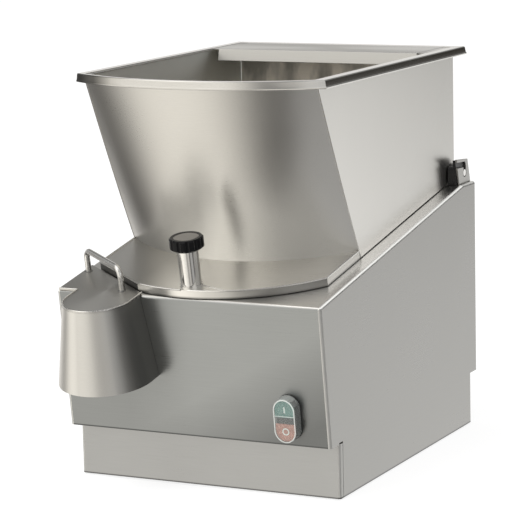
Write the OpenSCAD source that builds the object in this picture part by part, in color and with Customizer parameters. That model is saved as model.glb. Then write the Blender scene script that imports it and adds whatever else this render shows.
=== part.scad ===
// Counter-top potato chipper. A hopper feeds a spinning disc that presses whole potatoes
// through a knife grid, and the chips fall out of the chute at the front.
// X runs to the right, Y to the rear and Z up. The origin is on the table, under the middle.

/* [Body] */
// Width over the side panels
body_w = 390; // [376:1:420]
// Thickness of the stainless sheet
sheet = 2; // [1.5:0.1:2.5]
// Outside radius of the folds
bend_r = 4; // [3:0.1:5]
// Rise of the deck to the rear, in degrees
deck_slope = 10.4; // [9:0.1:12]
// Length of the deck along its slope
deck_l = 500; // [495:1:530]
// Height of the deck's front edge above the table
deck_front_z = 267; // [262:1:285]
// Lean of the front panel from upright, in degrees
panel_lean = 7.4; // [6:0.1:9]
// Depth of the level ledge behind the deck
ledge_d = 47; // [46:1:55]
// Height of the plinth's top above the table
plinth_h = 76; // [66:1:84]
// How far the plinth stands back under the front panel
plinth_front_in = 27; // [20:1:36]
// How far the plinth's front sheet is folded round the sides
plinth_wrap = 9; // [7:0.5:14]
// Open seam between the plinth's fold and the side panel
seam = 1.2; // [0.8:0.1:2]
// How far the plinth stands back under the rear edge
plinth_rear_in = 24; // [20:1:34]
// How far the rear panel sits in from the rear edges
rear_inset = 3; // [3:0.5:6]
// Height of the rubber feet
foot_h = 10; // [8:0.5:14]
// Diameter of the rubber feet
foot_d = 36; // [28:1:44]
// Gap between the plinth's lower edge and the table
ground_gap = 2; // [1:0.5:4]

/* [Hopper] */
// How far the hopper's side walls stand in from the body's sides
hopper_in = 23.6; // [21:0.1:27]
// Height of the rim above the table
hopper_top_z = 554; // [540:1:575]
// Thickness of the hopper's sheet
hopper_wall = 2; // [1.5:0.1:2.5]
// Distance of the front wall's foot behind the deck's front edge
front_foot_s = 115; // [108:1:124]
// Radius of the coned front wall at its foot
front_foot_r = 249; // [240:1:270]
// Half angle of the cone that the front wall is rolled to, in degrees
cone_half = 17.8; // [15:0.1:20]
// Forward lean of the front wall at the middle, in degrees
front_lean = 23.6; // [21:0.1:25]
// Distance of the hopper's rear wall ahead of the body's rear edge
rear_wall_in = 21.3; // [21:0.1:24]
// Gap between the hopper's walls and the deck
wall_gap = 1.5; // [1:0.1:2.5]
// Overhang of the rim past the side walls
rim_side = 12.6; // [9:0.1:15]
// Overhang of the rim past the front wall
rim_front = 4; // [3:0.1:8]
// Overhang of the rim past the rear wall
rim_rear = 19; // [12:0.5:20]
// Depth of the rim's turned-down edge
rim_drop = 11.7; // [9:0.1:16]
// Depth of the guard strip at the rear of the mouth
guard_d = 97; // [80:1:120]
// Height of the guard strip's front edge
guard_h = 14; // [10:0.5:20]
// Gap between the guard strip and each side wall
guard_side_gap = 12.4; // [6:0.2:20]

/* [Flange and lock] */
// Radius of the flange's front edge
flange_r = 230; // [222:1:250]
// Height of the flange's top above the deck
flange_top = 12; // [11:0.5:15]
// Thickness of the flange plate
flange_t = 3; // [2:0.5:4]
// Gap between the flange's edge and the deck
flange_gap = 1; // [0.5:0.1:2]
// Distance of the flange's straight cut behind the handle
flange_cut = 17; // [14:0.5:20]
// Distance of the lock post behind the deck's front edge
lock_s = 21; // [20:0.5:26]
// Diameter of the lock post
post_d = 28; // [24:0.5:32]
// Length of the lock post above the flange
post_l = 50; // [40:1:60]
// Diameter of the lock spindle
spindle_d = 12; // [10:0.5:14]
// Diameter of the knob
knob_d = 46; // [40:1:52]
// Height of the knob
knob_h = 17; // [14:0.5:22]
// Number of flutes round the knob
flutes = 12; // [8:1:16]

/* [Hinge] */
// Distance of the hinge axis ahead of the body's rear edge
hinge_in = 22.4; // [22:0.1:24]
// Height of the hinge axis above the ledge
hinge_up = 15; // [14:0.5:18]
// Diameter of the hinge pins
hinge_pin_d = 10; // [8:0.5:12]
// Width of the black bearing blocks
block_w = 12.5; // [11:0.5:14]
// Thickness of the hinge brackets
bracket_t = 3; // [2:0.5:4]

/* [Chute and knives] */
// Radius of the chute's rounded front at the top
chute_top_r = 47.5; // [46:0.5:50]
// Radius of the chute's rounded front at its mouth
chute_mouth_r = 66; // [58:0.5:72]
// Distance of the chute's rounding ahead of the deck's front edge
chute_ahead = 28.5; // [20:0.5:40]
// Drop of the chute's mouth below the deck
chute_drop = 110; // [100:1:125]
// Thickness of the chute's sheet
chute_t = 2; // [1.5:0.1:2.5]
// Diameter of the handle's rod
handle_d = 8; // [6:0.5:10]
// Height of the handle above its plate
handle_h = 35; // [26:1:44]
// Width of the outlet channel
outlet_w = 72; // [66:1:76]
// Thickness of the knife frame's bars
frame_bar = 5; // [4:0.5:6]
// Depth of the knife frame along the outlet
knife_l = 26; // [25:0.5:30]
// Spacing of the blades, which sets the size of the chips
chip = 10; // [8:1:14]
// Thickness of a blade
blade_t = 0.8; // [0.6:0.1:1.2]
// Depth of a blade
blade_w = 8; // [6:0.5:9]

/* [Chamber and rotor] */
// How far the chamber's wall stands in from the hopper's sides
chamber_in = 19.4; // [18:0.2:26]
// Clear strip of the deck behind the chamber's room
chamber_rear_gap = 67; // [60:1:75]
// Depth of the chamber under the deck
chamber_depth = 78; // [72:1:90]
// Thickness of the chamber's wall
chamber_wall = 3; // [2:0.5:5]
// Thickness of the chamber's floor
chamber_floor = 4; // [3:0.5:6]
// Gap between the rotor and the chamber's wall
rotor_gap = 3; // [2:0.5:5]
// Gap between the rotor and the chamber's floor
rotor_lift = 2; // [1.5:0.1:3]
// Thickness of the rotor disc
rotor_t = 5; // [4:0.5:8]
// Height of the pusher vanes
vane_h = 52; // [40:1:54]
// Thickness of the pusher vanes
vane_t = 6; // [4:0.5:8]
// Radius that the vanes are curved to
vane_r = 80; // [76:1:90]
// Number of pusher vanes
vanes = 3; // [2:1:4]
// Diameter of the rotor shaft
shaft_d = 25; // [20:1:28]

/* [Drive] */
// Outside radius of the motor over its fins
motor_r = 58; // [52:1:60]
// Length of the motor
motor_l = 126; // [110:1:130]
// Diameter of the motor shaft
motor_shaft_d = 14; // [12:0.5:16]
// Radius of the rotor pulley's belt seat
rotor_pulley_r = 85; // [75:1:95]
// Radius of the motor pulley's belt seat
motor_pulley_r = 24; // [20:1:30]
// Width of the pulleys
pulley_w = 22; // [20:1:26]
// Width of the belt
belt_w = 16; // [12:1:16]
// Thickness of the belt
belt_t = 4; // [3:0.5:5]

/* [Switch] */
// Distance of the push buttons in from the body's right side
switch_in = 56; // [46:1:74]
// Distance of the push buttons down the front panel
switch_down = 153; // [140:1:156]
// Radius of the clear boot's ends
boot_r = 17; // [16:0.5:20]
// How far the clear boot stands out
boot_h = 17.5; // [17:0.5:22]
// Spacing of the two buttons
button_pitch = 30; // [27:1:32]
// Diameter of a button's body under its head
button_d = 20; // [16:1:21]
// Travel of a button
button_travel = 3.5; // [2:0.5:3.5]
// Height of the lens strip between the buttons
lens_w = 8; // [6:0.5:9]

/* [Clearances] */
// Radial gap of a running shaft
run_fit = 0.06; // [0.03:0.01:0.1]
// Radial gap of a pressed or seated round piece
seat_fit = 0.05; // [0.03:0.01:0.1]
// Gap round pieces that slide or lift out
slide_fit = 0.4; // [0.3:0.1:0.8]
// Gap under the chute's plate where it lies on the deck
lay_gap = 0.3; // [0.2:0.1:0.5]
// Gap between the chute's plate and the flange
plate_gap = 2; // [1.5:0.1:3]
// Gap between the belt and its pulleys
belt_gap = 0.3; // [0.3:0.1:0.5]
// Gap between the motor's fins and the right side panel
motor_side_gap = 15; // [8:0.5:20]
// Gap between the motor's bracket and the rear panel
motor_rear_gap = 6.5; // [4:0.5:8]
// Gap between the rotor's bearing housing and its pulley
pulley_gap = 8; // [6:0.5:10]
// Gap between the hopper's wall and the hinge blocks
hinge_gap = 1.5; // [1:0.1:2]
// Gap under the knob
knob_gap = 0.5; // [0.4:0.1:1]
// Play of the lock's head in its slot
head_play = 2.5; // [2:0.1:3]

/* [Hidden] */
$fn = 96;
far = 3000;

steel = [0.78, 0.77, 0.75];
steel_dark = [0.66, 0.66, 0.65];
polished = [0.86, 0.86, 0.86];
black = [0.07, 0.07, 0.08];
cast = [0.55, 0.56, 0.58];

// Body lines in the plane of the side panels
deck_d = deck_l * cos(deck_slope);
ledge_z = deck_front_z + deck_l * sin(deck_slope);
cover_top = lay_gap + chute_t;
reach_top = (chute_ahead + chute_top_r) * cos(deck_slope) + cover_top * sin(deck_slope);
reach_mouth = (chute_ahead + chute_mouth_r) * cos(deck_slope) - chute_drop * sin(deck_slope);
chute_reach = max(reach_top, reach_mouth);
total_d = chute_reach + deck_d + ledge_d;
front_y = chute_reach - total_d / 2;
rear_y = total_d / 2;
panel_foot_y = front_y + (deck_front_z - plinth_h) * tan(panel_lean);
plinth_front_y = panel_foot_y + plinth_front_in;
plinth_rear_y = rear_y - plinth_rear_in;
cover_w = body_w - 2 * bend_r;
inner_w = body_w - 2 * sheet;
fold_angle = 90 + deck_slope - panel_lean;
fold_turn = deck_slope - panel_lean;
fold_back = bend_r / tan(fold_angle / 2);
fold_skin = 0.02;

// Hopper lines
hopper_w = body_w - 2 * hopper_in;
hopper_half = hopper_w / 2;
hopper_rear_y = rear_y - rear_wall_in;
cone_lean = front_lean - cone_half;
foot_y = front_y + front_foot_s * cos(deck_slope) - flange_top * sin(deck_slope);
foot_z = deck_front_z + front_foot_s * sin(deck_slope) + flange_top * cos(deck_slope);
foot_arc_r = front_foot_r / cos(cone_half) * cos(front_lean - deck_slope);
crease_s = front_foot_s + foot_arc_r - sqrt(foot_arc_r * foot_arc_r - hopper_half * hopper_half);
front_rise = hopper_top_z - foot_z;
mouth_front_y = foot_y - front_rise * tan(front_lean);
mouth_cone_r = front_foot_r + front_rise / cos(front_lean) * sin(cone_half);
mouth_arc_r = mouth_cone_r / cos(cone_half) * cos(front_lean);
rim_t = hopper_wall;
hinge_y = rear_y - hinge_in;
hinge_z = ledge_z + hinge_up;

// Levels under the deck, along the deck's normal
chamber_top = -sheet;
floor_top = chamber_top - chamber_depth;
floor_under = floor_top - chamber_floor;
rotor_under = floor_top + rotor_lift;
disc_top = rotor_under + rotor_t;
hub_h = 20;
hub_r = 32;
hub_top = disc_top + hub_h;
chamber_r = hopper_half - chamber_in;
chamber_lip = 18;
chamber_lip_t = 3;
feed_edge = 6;
shaft_r = shaft_d / 2;
shaft_play = 1.5;

// Bearings under the chamber
bearing_r = 26;
bearing_w = 15;
bearing_l = 66;
bearing_wall = 9;
bearing_step = 4;
bearing_race = 5;
bearing_end = 3;
bearing_flange = 8;
bearing_flange_r = 60;
bearing_bolts_r = 49;
bearing_under = floor_under - bearing_l;
seal_w = 7;
bolt_r = 3;
bolt_head = 5;
bolt_head_r = 5.5;

// Motor, pulleys and belt
motor_up = 2;
motor_under = bearing_under + motor_up;
motor_top = motor_under + motor_l;
motor_shaft_r = motor_shaft_d / 2;
fin_h = 6;
fin_t = 2.4;
fin_root = 2;
case_wall = 6;
case_r = motor_r - fin_h;
cap_top = 10;
cap_under = 8;
cap_r = motor_r - 2;
cap_crown_r = motor_r - cap_top;
cap_bore = 5;
core_r = 30;
core_gap = 1;
stator_in = 10;
core_in = 12;
bracket_plate = 5;
bracket_lip = 3;
bracket_h = 60;
bracket_bore = 6;
motor_bolts_r = motor_r - 14;
bolt_grip = 5;
pulley_top = bearing_under - pulley_gap;
pulley_under = pulley_top - pulley_w;
pulley_lip = 1;
web_half = 3;
web_rim = 9;
web_hub = 14;
web_hole_r = 14;
motor_tail = 2;
motor_nose = 4;
rotor_tail = 6;
rear_inner_y = rear_y - rear_inset - sheet;
motor_room = rear_inner_y - motor_rear_gap - front_y + (motor_under - bracket_plate) * sin(deck_slope);
motor_s = motor_room / cos(deck_slope) - motor_r - bracket_lip;
motor_x = inner_w / 2 - motor_side_gap - motor_r;

// Outlet, knives and chute
chute_x = outlet_w / 2 - chamber_r;
cover_edge = 3;
tongue_x = 22;
tongue_s = 18;
tongue_l = 30;
tongue_h = 14;
fold_clear = fold_back + 2.2;
grid_top = -7;
grid_h = grid_top - floor_top;
blade_seat = 3;
blade_bevel = 2;
blade_margin = 2;
slot_fit = 0.05;
level_s = blade_margin - knife_l;
upright_s = level_s + blade_w + blade_margin / 2;
handle_in = 11;
handle_left = [handle_in - body_w / 2, 69];
handle_right = [chute_x + 17, 8];
handle_line = handle_right - handle_left;
handle_turn = atan2(handle_line[1], handle_line[0]);
handle_span = norm(handle_line);
handle_bend = 12;

// Switch
switch_x = body_w / 2 - switch_in;
switch_hole_r = 8;
boot_half = button_pitch / 2 - 0.5;
boot_t = 1.5;
boot_play = 0.9;
collar_r = boot_r - boot_t - boot_play;
collar_base = 3;
collar_h = 10;
collar_floor = 1;
button_proud = 15;
button_under = collar_floor + button_travel + 0.5;
head_fit = 0.3;
lens_side = 4;
lens_h = 14.5;
stem_r = 3.5;
stem_in = 14;
block_half = 15;
block_rise = 26;
block_tail = 14;
ear_half = 10;
ear_rise = 30;
ear_in = 5;

// Hinge, in from the body's rear edge and up from the ledge
hinge_block_front = 49;
hinge_block_rear = 8;
hinge_block_h = 26.5;
liner_t = 4;
liner_edge = 1.5;
hinge_block_r = 6;
bracket_foot = [44, 0.5];
bracket_rear_top = [11, 34];
bracket_front_top = [53, 37.5];
bracket_gap = 0.2;
hook_half = 4.5;
hook_mouth = 32;
hook_knee = [8.5, 12, 16];

// Lock
keeper_t = 3;
keeper_w = 50;
keeper_d = 30;
keeper_ahead = 14;
keeper_rear = lock_s + keeper_d - keeper_ahead;
head_l = 28;
head_t = 7;
head_gap = 1;
head_r = spindle_d / 2 - 1;
head_half = head_l / 2 - head_r;
weld_h = 2;
weld_out = 1.5;
knob_under = flange_top + post_l + knob_gap;
knob_grip = 11.5;
knob_chin = [4, 3];
knob_edge = 2;
knob_dish = 6;
dish_h = 2;
cap_h = 1.5;
flute_r = 3;
flute_out = 1.4;

// The chamber lies midway between the lock's keeper and the clear strip at the rear
chamber_s = (keeper_rear + deck_l - chamber_rear_gap) / 2;

// Rim, flange and small body pieces
rim_hem_h = 3;
rim_hem_out = 0.8;
feed_lip = 2.5;
cone_spare = 150;
foot_taper = 2;
vent_rows = 2;
vent_count = 9;
vent_pitch = 15;
vent_spacing = 130;
vent_foot = 60;
vent_half = 45;
vent_r = 2.5;
screw_r = 2;
screw_play = 0.1;
screw_l = 6;
screw_head_r = 4.5;
screw_head_h = 2.4;
screw_in_x = 14;
screw_in_z = 18;
floor_slots = 3;
floor_slot_pitch = 34;
floor_slot_r = 4;
floor_slot_half = 60;
gland_in = 75;
gland_r = 8;
gland_tail = 8;
gland_nut_r = 12;
gland_nut_h = 5;
gland_dome_r = 9.5;
gland_dome_h = 9;
gland_bore_r = 4;
box_w = 52;
box_l = 100;
box_h = 110;
box_lid = 6;
box_lip = 3;
box_ahead = 150;
box_up = 20;

// Frames: the deck's slope, the front panel's lean, and profiles drawn in the side view
module on_deck() translate([0, front_y, deck_front_z]) rotate([deck_slope, 0, 0]) children();
module on_panel() translate([0, front_y, deck_front_z]) rotate([panel_lean, 0, 0]) children();
module at_rotor(level) on_deck() translate([0, chamber_s, level]) children();
module at_motor(level) on_deck() translate([motor_x, motor_s, level]) children();
module at_lock(level) on_deck() translate([0, lock_s, level]) children();
module at_switch() on_panel() translate([switch_x, 0, -switch_down]) rotate([90, 0, 0]) children();
module across(w) rotate([90, 0, 90]) translate([0, 0, -w / 2]) linear_extrude(w) children();
module both_sides() {
  children();
  mirror([1, 0, 0]) children();
}
module slab(x0, x1, y0, y1, z0, z1) translate([x0, y0, z0]) cube([x1 - x0, y1 - y0, z1 - z0]);
module ring(h, outer, inner) {
  difference() {
    cylinder(h = h, r = outer);
    translate([0, 0, -1]) cylinder(h = h + 2, r = inner);
  }
}
module round_slot(r, half) {
  square([2 * r, 2 * half], center = true);
  for (end = [-1, 1]) translate([0, end * half]) circle(r);
}
// Body: one closed form, hollowed to the sheet and then parted into panels
module round_top(w, r) {
  translate([-w / 2 + r, -far]) square([w - 2 * r, far]);
  translate([-w / 2, -far]) square([w, far - r]);
  for (end = [-1, 1]) translate([end * (w / 2 - r), -r]) circle(r);
}
module side_view(inset) {
  polygon([
    [plinth_front_y + inset, ground_gap - inset],
    [plinth_front_y + inset, plinth_h + inset],
    [front_y - far / 4, plinth_h + inset],
    [front_y - far / 4, far / 4],
    [rear_y + inset, far / 4],
    [rear_y + inset, plinth_h + inset],
    [plinth_rear_y + inset, plinth_h + inset],
    [plinth_rear_y + inset, ground_gap - inset]
  ]);
}
module front_fold(inset) {
  centre = [fold_back, -bend_r];
  tip = -fold_back * [sin(fold_turn), cos(fold_turn)] + bend_r * [-cos(fold_turn), sin(fold_turn)];
  difference() {
    polygon([[-2 * bend_r, bend_r], [fold_back, bend_r], centre, tip]);
    translate(centre) circle(bend_r - inset + fold_skin);
  }
}
module body_form(inset) {
  w = body_w - 2 * inset;
  r = bend_r - inset;
  difference() {
    intersection() {
      across(w) side_view(inset);
      on_deck() translate([0, far / 2, -inset]) rotate([90, 0, 0]) linear_extrude(far) round_top(w, r);
      on_panel() translate([0, inset, -far / 2]) linear_extrude(far) mirror([0, 1]) round_top(w, r);
      translate([0, far / 2, ledge_z - inset]) rotate([90, 0, 0]) linear_extrude(far) round_top(w, r);
    }
    on_deck() across(body_w + 2) front_fold(inset);
  }
}
module body_shell() {
  difference() {
    body_form(0);
    body_form(sheet);
  }
}
module front_of_panel(depth) on_panel() slab(-far, far, -far, depth, -far, far);

// The housing's sheet in the side view: front panel, deck, ledge and the step above the plinth
module cover_line(inset) {
  drop = (plinth_h + inset - deck_front_z - inset * sin(panel_lean)) / cos(panel_lean);
  run = (ledge_z - deck_front_z - inset + inset * cos(deck_slope)) / sin(deck_slope);
  fold_in = inset / tan(fold_angle / 2);
  difference() {
    polygon([
      [front_y + inset * cos(panel_lean) - drop * sin(panel_lean), plinth_h + inset],
      [front_y + fold_in * cos(deck_slope) + inset * sin(deck_slope),
        deck_front_z + fold_in * sin(deck_slope) - inset * cos(deck_slope)],
      [front_y + run * cos(deck_slope) + inset * sin(deck_slope), ledge_z - inset],
      [rear_y + inset, ledge_z - inset],
      [rear_y + inset, plinth_h + inset]
    ]);
    translate([front_y, deck_front_z]) rotate(deck_slope) front_fold(inset);
  }
}
module housing() {
  color(steel) difference() {
    across(cover_w) difference() {
      cover_line(0);
      cover_line(sheet);
      translate([plinth_front_y + sheet, 0]) square([far, plinth_h + 2 * sheet]);
    }
    on_deck() translate([0, 0, -3 * sheet]) linear_extrude(6 * sheet) deck_openings();
    on_panel() slab(chute_x - outlet_w / 2, chute_x + outlet_w / 2, -sheet, 3 * sheet, floor_top, grid_top);
    at_switch() translate([0, 0, -2 * sheet]) linear_extrude(4 * sheet)
      round_slot(switch_hole_r, button_pitch / 2);
  }
}
module deck_openings() {
  translate([0, chamber_s]) circle(chamber_r);
  tongue_plan(slide_fit);
  lock_slot();
}
module lock_slot() translate([0, lock_s]) rotate(90) round_slot(head_r + head_play, head_half + head_play);
module side_panel() {
  seam_y = plinth_front_y + plinth_wrap + seam;
  difference() {
    intersection() {
      body_shell();
      slab(cover_w / 2, far, -far, far, 0, far);
    }
    slab(-far, far, -far, seam_y, -far, plinth_h);
    slab(-far, far, plinth_front_y - seam, seam_y, 0, plinth_h + 2 * seam);
  }
}
module right_side_panel() color(steel) side_panel();
module left_side_panel() color(steel) mirror([1, 0, 0]) side_panel();
module plinth_plan(inset) {
  half = body_w / 2 - inset;
  r = bend_r - inset;
  translate([-half, r]) square([2 * half, plinth_wrap - bend_r + inset]);
  translate([r - half, 0]) square([2 * half - 2 * r, plinth_wrap]);
  for (end = [-1, 1]) translate([end * (half - r), r]) circle(r);
}
module front_plinth() {
  color(steel) translate([0, plinth_front_y, ground_gap]) linear_extrude(plinth_h - ground_gap)
    difference() {
      plinth_plan(0);
      translate([0, sheet]) plinth_plan(sheet);
    }
}
module rear_plinth() {
  color(steel) difference() {
    slab(-cover_w / 2, cover_w / 2, plinth_rear_y - sheet, plinth_rear_y, ground_gap, plinth_h);
    gland_place() translate([0, 0, -2 * sheet]) cylinder(h = 4 * sheet, r = gland_r);
  }
}
module rear_panel() {
  face_y = rear_y - rear_inset;
  color(steel) difference() {
    union() {
      slab(-cover_w / 2, cover_w / 2, face_y - sheet, face_y, plinth_h, ledge_z - sheet);
      slab(-cover_w / 2, cover_w / 2, plinth_rear_y - sheet, face_y, plinth_h, plinth_h + sheet);
    }
    for (row = [0 : vent_rows - 1], i = [0 : vent_count - 1])
      translate([(row - 0.5) * vent_spacing, face_y + sheet, plinth_h + vent_foot + i * vent_pitch])
        rotate([90, 0, 0]) linear_extrude(3 * sheet) rotate(90) round_slot(vent_r, vent_half);
    screw_places() translate([0, 0, -2 * sheet]) cylinder(h = 3 * sheet, r = screw_r + screw_play);
  }
}
module screw_places() {
  for (x = [-1, 0, 1], z = [plinth_h + screw_in_z, ledge_z - screw_in_z])
    translate([x * (cover_w / 2 - screw_in_x), rear_y - rear_inset, z]) rotate([-90, 0, 0]) children();
}
module rear_panel_screws() {
  shoulder = [0.93 * screw_head_r, 0.5 * screw_head_h];
  crown = [0.62 * screw_head_r, 0.87 * screw_head_h];
  color(polished) screw_places() rotate_extrude() polygon([
    [0, -screw_l], [screw_r, -screw_l], [screw_r, 0], [screw_head_r, 0], shoulder, crown, [0, screw_head_h]
  ]);
}
module base_plate() {
  color(steel_dark) difference() {
    slab(-inner_w / 2, inner_w / 2, plinth_front_y + sheet, plinth_rear_y - sheet, foot_h, foot_h + sheet);
    for (i = [-floor_slots : floor_slots]) translate([i * floor_slot_pitch, 0, foot_h - sheet])
      linear_extrude(3 * sheet) round_slot(floor_slot_r, floor_slot_half);
  }
}
module rubber_feet() {
  mid_y = (plinth_front_y + plinth_rear_y) / 2;
  foot_y = (plinth_rear_y - plinth_front_y) / 2 - foot_d;
  color(black) for (x = [-1, 1], y = [-1, 1])
    translate([x * (inner_w / 2 - foot_d), mid_y + y * foot_y, 0]) difference() {
      cylinder(h = foot_h, r1 = foot_d / 2 - foot_taper, r2 = foot_d / 2);
      translate([0, 0, -1]) cylinder(h = foot_h / 2 + 1, r = foot_d / 6);
    }
}
module gland_place() {
  translate([gland_in - body_w / 2, plinth_rear_y, plinth_h / 2]) rotate([-90, 0, 0]) children();
}
module cable_gland() {
  color(black) gland_place() difference() {
    union() {
      translate([0, 0, -sheet - gland_tail]) cylinder(h = sheet + gland_tail, r = gland_r - seat_fit);
      cylinder(h = gland_nut_h, r = gland_nut_r, $fn = 6);
      translate([0, 0, gland_nut_h]) cylinder(h = gland_dome_h, r1 = gland_dome_r, r2 = gland_dome_r - 2);
    }
    translate([0, 0, -far / 2]) cylinder(h = far, r = gland_bore_r);
  }
}
module control_box() {
  y = plinth_rear_y - box_ahead;
  z = plinth_h + box_up;
  left = -inner_w / 2;
  lid = left + box_w;
  color(cast) {
    slab(left, lid, y, y + box_l, z, z + box_h);
    slab(lid, lid + box_lid, y - box_lip, y + box_l + box_lip, z - box_lip, z + box_h + box_lip);
  }
}

// Cutting chamber with its outlet channel
module chamber() {
  height = chamber_top - floor_under;
  color(cast) difference() {
    on_deck() difference() {
      union() {
        translate([0, chamber_s, floor_under]) cylinder(h = height, r = chamber_r + chamber_wall);
        translate([0, chamber_s, chamber_top - chamber_lip_t])
          cylinder(h = chamber_lip_t, r = chamber_r + chamber_lip);
        channel(outlet_w / 2 + chamber_wall, floor_under, chamber_top);
      }
      translate([0, chamber_s, floor_top]) cylinder(h = far, r = chamber_r);
      channel(outlet_w / 2, floor_top, far);
      slab(-far, far, -far, fold_clear, -bend_r - sheet, far);
      translate([0, chamber_s, floor_under - 1]) {
        cylinder(h = far, r = shaft_r + shaft_play);
        bolt_circle(bearing_bolts_r, 4) cylinder(h = far, r = bolt_r + seat_fit);
      }
    }
    front_of_panel(sheet);
  }
}
module channel(half, h0, h1) slab(chute_x - half, chute_x + half, -far / 10, chamber_s, h0, h1);
module bolt_circle(r, n) for (i = [0 : n - 1]) rotate(45 + i * 360 / n) translate([r, 0, 0]) children();

module bearing_housing() {
  color(cast) at_rotor(bearing_under) difference() {
    union() {
      cylinder(h = bearing_l, r = bearing_r + bearing_wall);
      translate([0, 0, bearing_l - bearing_flange]) cylinder(h = bearing_flange, r = bearing_flange_r);
    }
    translate([0, 0, -1]) cylinder(h = far, r = bearing_r - bearing_step);
    translate([0, 0, -1]) cylinder(h = bearing_end + bearing_w + 1, r = bearing_r);
    translate([0, 0, bearing_l - bearing_w - seal_w - 1]) cylinder(h = far, r = bearing_r);
    bolt_circle(bearing_bolts_r, 4) translate([0, 0, -1]) cylinder(h = far, r = bolt_r + seat_fit);
  }
}
module rotor_bearings() {
  groove = 1;
  color(polished) for (level = [bearing_under + bearing_end, floor_under - seal_w - bearing_w - 0.5])
    at_rotor(level) difference() {
      ring(bearing_w, bearing_r - seat_fit, shaft_r + run_fit);
      for (side = [0, bearing_w]) translate([0, 0, side - groove])
        ring(2 * groove, bearing_r - bearing_race, shaft_r + bearing_race - 1);
    }
}
module shaft_seal() {
  color(black) at_rotor(floor_under - seal_w) ring(seal_w - 0.2, bearing_r - seat_fit, shaft_r + run_fit);
}
module bolt(grip) {
  translate([0, 0, -bolt_head]) cylinder(h = bolt_head, r = bolt_head_r, $fn = 6);
  cylinder(h = grip, r = bolt_r);
}
module bearing_bolts() {
  color(polished) at_rotor(floor_under - bearing_flange) bolt_circle(bearing_bolts_r, 4)
    bolt(bearing_flange + chamber_floor);
}

// Motor, upright beside the chamber, hung on a bracket from the right side panel
module motor_case() {
  fins = 24;
  color(steel_dark) at_motor(motor_under + cap_under) linear_extrude(motor_l - cap_top - cap_under)
    difference() {
      union() {
        circle(case_r);
        for (i = [0 : fins - 1]) rotate(i * 360 / fins)
          translate([case_r - fin_root, -fin_t / 2]) square([fin_root + fin_h, fin_t]);
      }
      circle(case_r - case_wall);
    }
}
module motor_stator() {
  color("peru") at_motor(motor_under + cap_under + stator_in)
    ring(motor_l - cap_top - cap_under - 2 * stator_in, case_r - case_wall - seat_fit, core_r + core_gap);
}
module motor_end_caps() {
  color(cast) {
    at_motor(motor_top - cap_top) difference() {
      cylinder(h = cap_top, r1 = cap_r, r2 = cap_crown_r);
      translate([0, 0, -1]) cylinder(h = cap_bore + 1, r = motor_shaft_r + run_fit);
    }
    at_motor(motor_under) difference() {
      cylinder(h = cap_under, r = cap_r);
      translate([0, 0, -1]) cylinder(h = far, r = motor_shaft_r + run_fit);
      bolt_circle(motor_bolts_r, 4) translate([0, 0, -1])
        cylinder(h = bolt_grip + 2, r = bolt_r + seat_fit);
    }
  }
}
module motor_bracket() {
  half = motor_r + bracket_lip;
  wall = inner_w / 2 - motor_x;
  color(steel_dark) at_motor(motor_under - bracket_plate) difference() {
    union() {
      slab(-half, wall, -half, half, 0, bracket_plate);
      slab(wall - bracket_plate, wall, -half, half, 0, bracket_h);
    }
    translate([0, 0, -1]) cylinder(h = bracket_plate + 2, r = motor_shaft_r + bracket_bore);
    bolt_circle(motor_bolts_r, 4) translate([0, 0, -1])
      cylinder(h = bracket_plate + 2, r = bolt_r + seat_fit);
  }
}
module motor_bolts() {
  color(polished) at_motor(motor_under - bracket_plate) bolt_circle(motor_bolts_r, 4)
    bolt(bracket_plate + bolt_grip);
}
module belt_wedge(lie, spread) {
  polygon([[0, 0], far * [cos(lie - spread), sin(lie - spread)], far * [cos(lie), sin(lie)],
    far * [cos(lie + spread), sin(lie + spread)]]);
}
module belt_plan() {
  motor_at = [motor_x, motor_s - chamber_s];
  big = rotor_pulley_r + belt_gap;
  small = motor_pulley_r + belt_gap;
  lie = atan2(motor_at[1], motor_at[0]);
  spread = acos((big - small) / norm(motor_at));
  run = sqrt(norm(motor_at) * norm(motor_at) - (big - small) * (big - small));
  skin = 0.1;
  lap = 1;
  difference() {
    circle(big + belt_t);
    circle(big);
    belt_wedge(lie, spread);
  }
  translate(motor_at) intersection() {
    difference() {
      circle(small + belt_t);
      circle(small);
    }
    belt_wedge(lie, spread);
  }
  for (side = [-1, 1]) rotate(lie + side * spread)
    translate([big + skin, side > 0 ? -run - lap : -lap]) square([belt_t - 2 * skin, run + 2 * lap]);
}
module drive_belt() {
  color(black) at_rotor(pulley_under + (pulley_w - belt_w) / 2) linear_extrude(belt_w) belt_plan();
}
module pulley_rim(r) {
  groove = belt_w + 1;
  difference() {
    cylinder(h = pulley_w, r = r + belt_t + pulley_lip);
    translate([0, 0, (pulley_w - groove) / 2]) ring(groove, r + far, r);
  }
}
module rotor_pulley() {
  color(cast) at_rotor(pulley_under) difference() {
    pulley_rim(rotor_pulley_r);
    for (side = [-1, 1]) translate([0, 0, side * (pulley_w / 2 + web_half)])
      ring(pulley_w, rotor_pulley_r - web_rim, shaft_r + web_hub);
    bolt_circle((rotor_pulley_r + shaft_r) / 2, 5) cylinder(h = far, r = web_hole_r);
    translate([0, 0, -1]) cylinder(h = far, r = shaft_r + seat_fit);
  }
}
module motor_pulley() {
  color(cast) at_motor(pulley_under) difference() {
    pulley_rim(motor_pulley_r);
    translate([0, 0, -1]) cylinder(h = far, r = motor_shaft_r + seat_fit);
  }
}
module motor_shaft() {
  under = pulley_under - motor_tail;
  color(polished) at_motor(under) cylinder(h = motor_top - cap_top + motor_nose - under, r = motor_shaft_r);
}
module motor_core() {
  color(cast) at_motor(motor_under + cap_under + core_in)
    ring(motor_l - cap_top - cap_under - 2 * core_in, core_r, motor_shaft_r + seat_fit);
}

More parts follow.
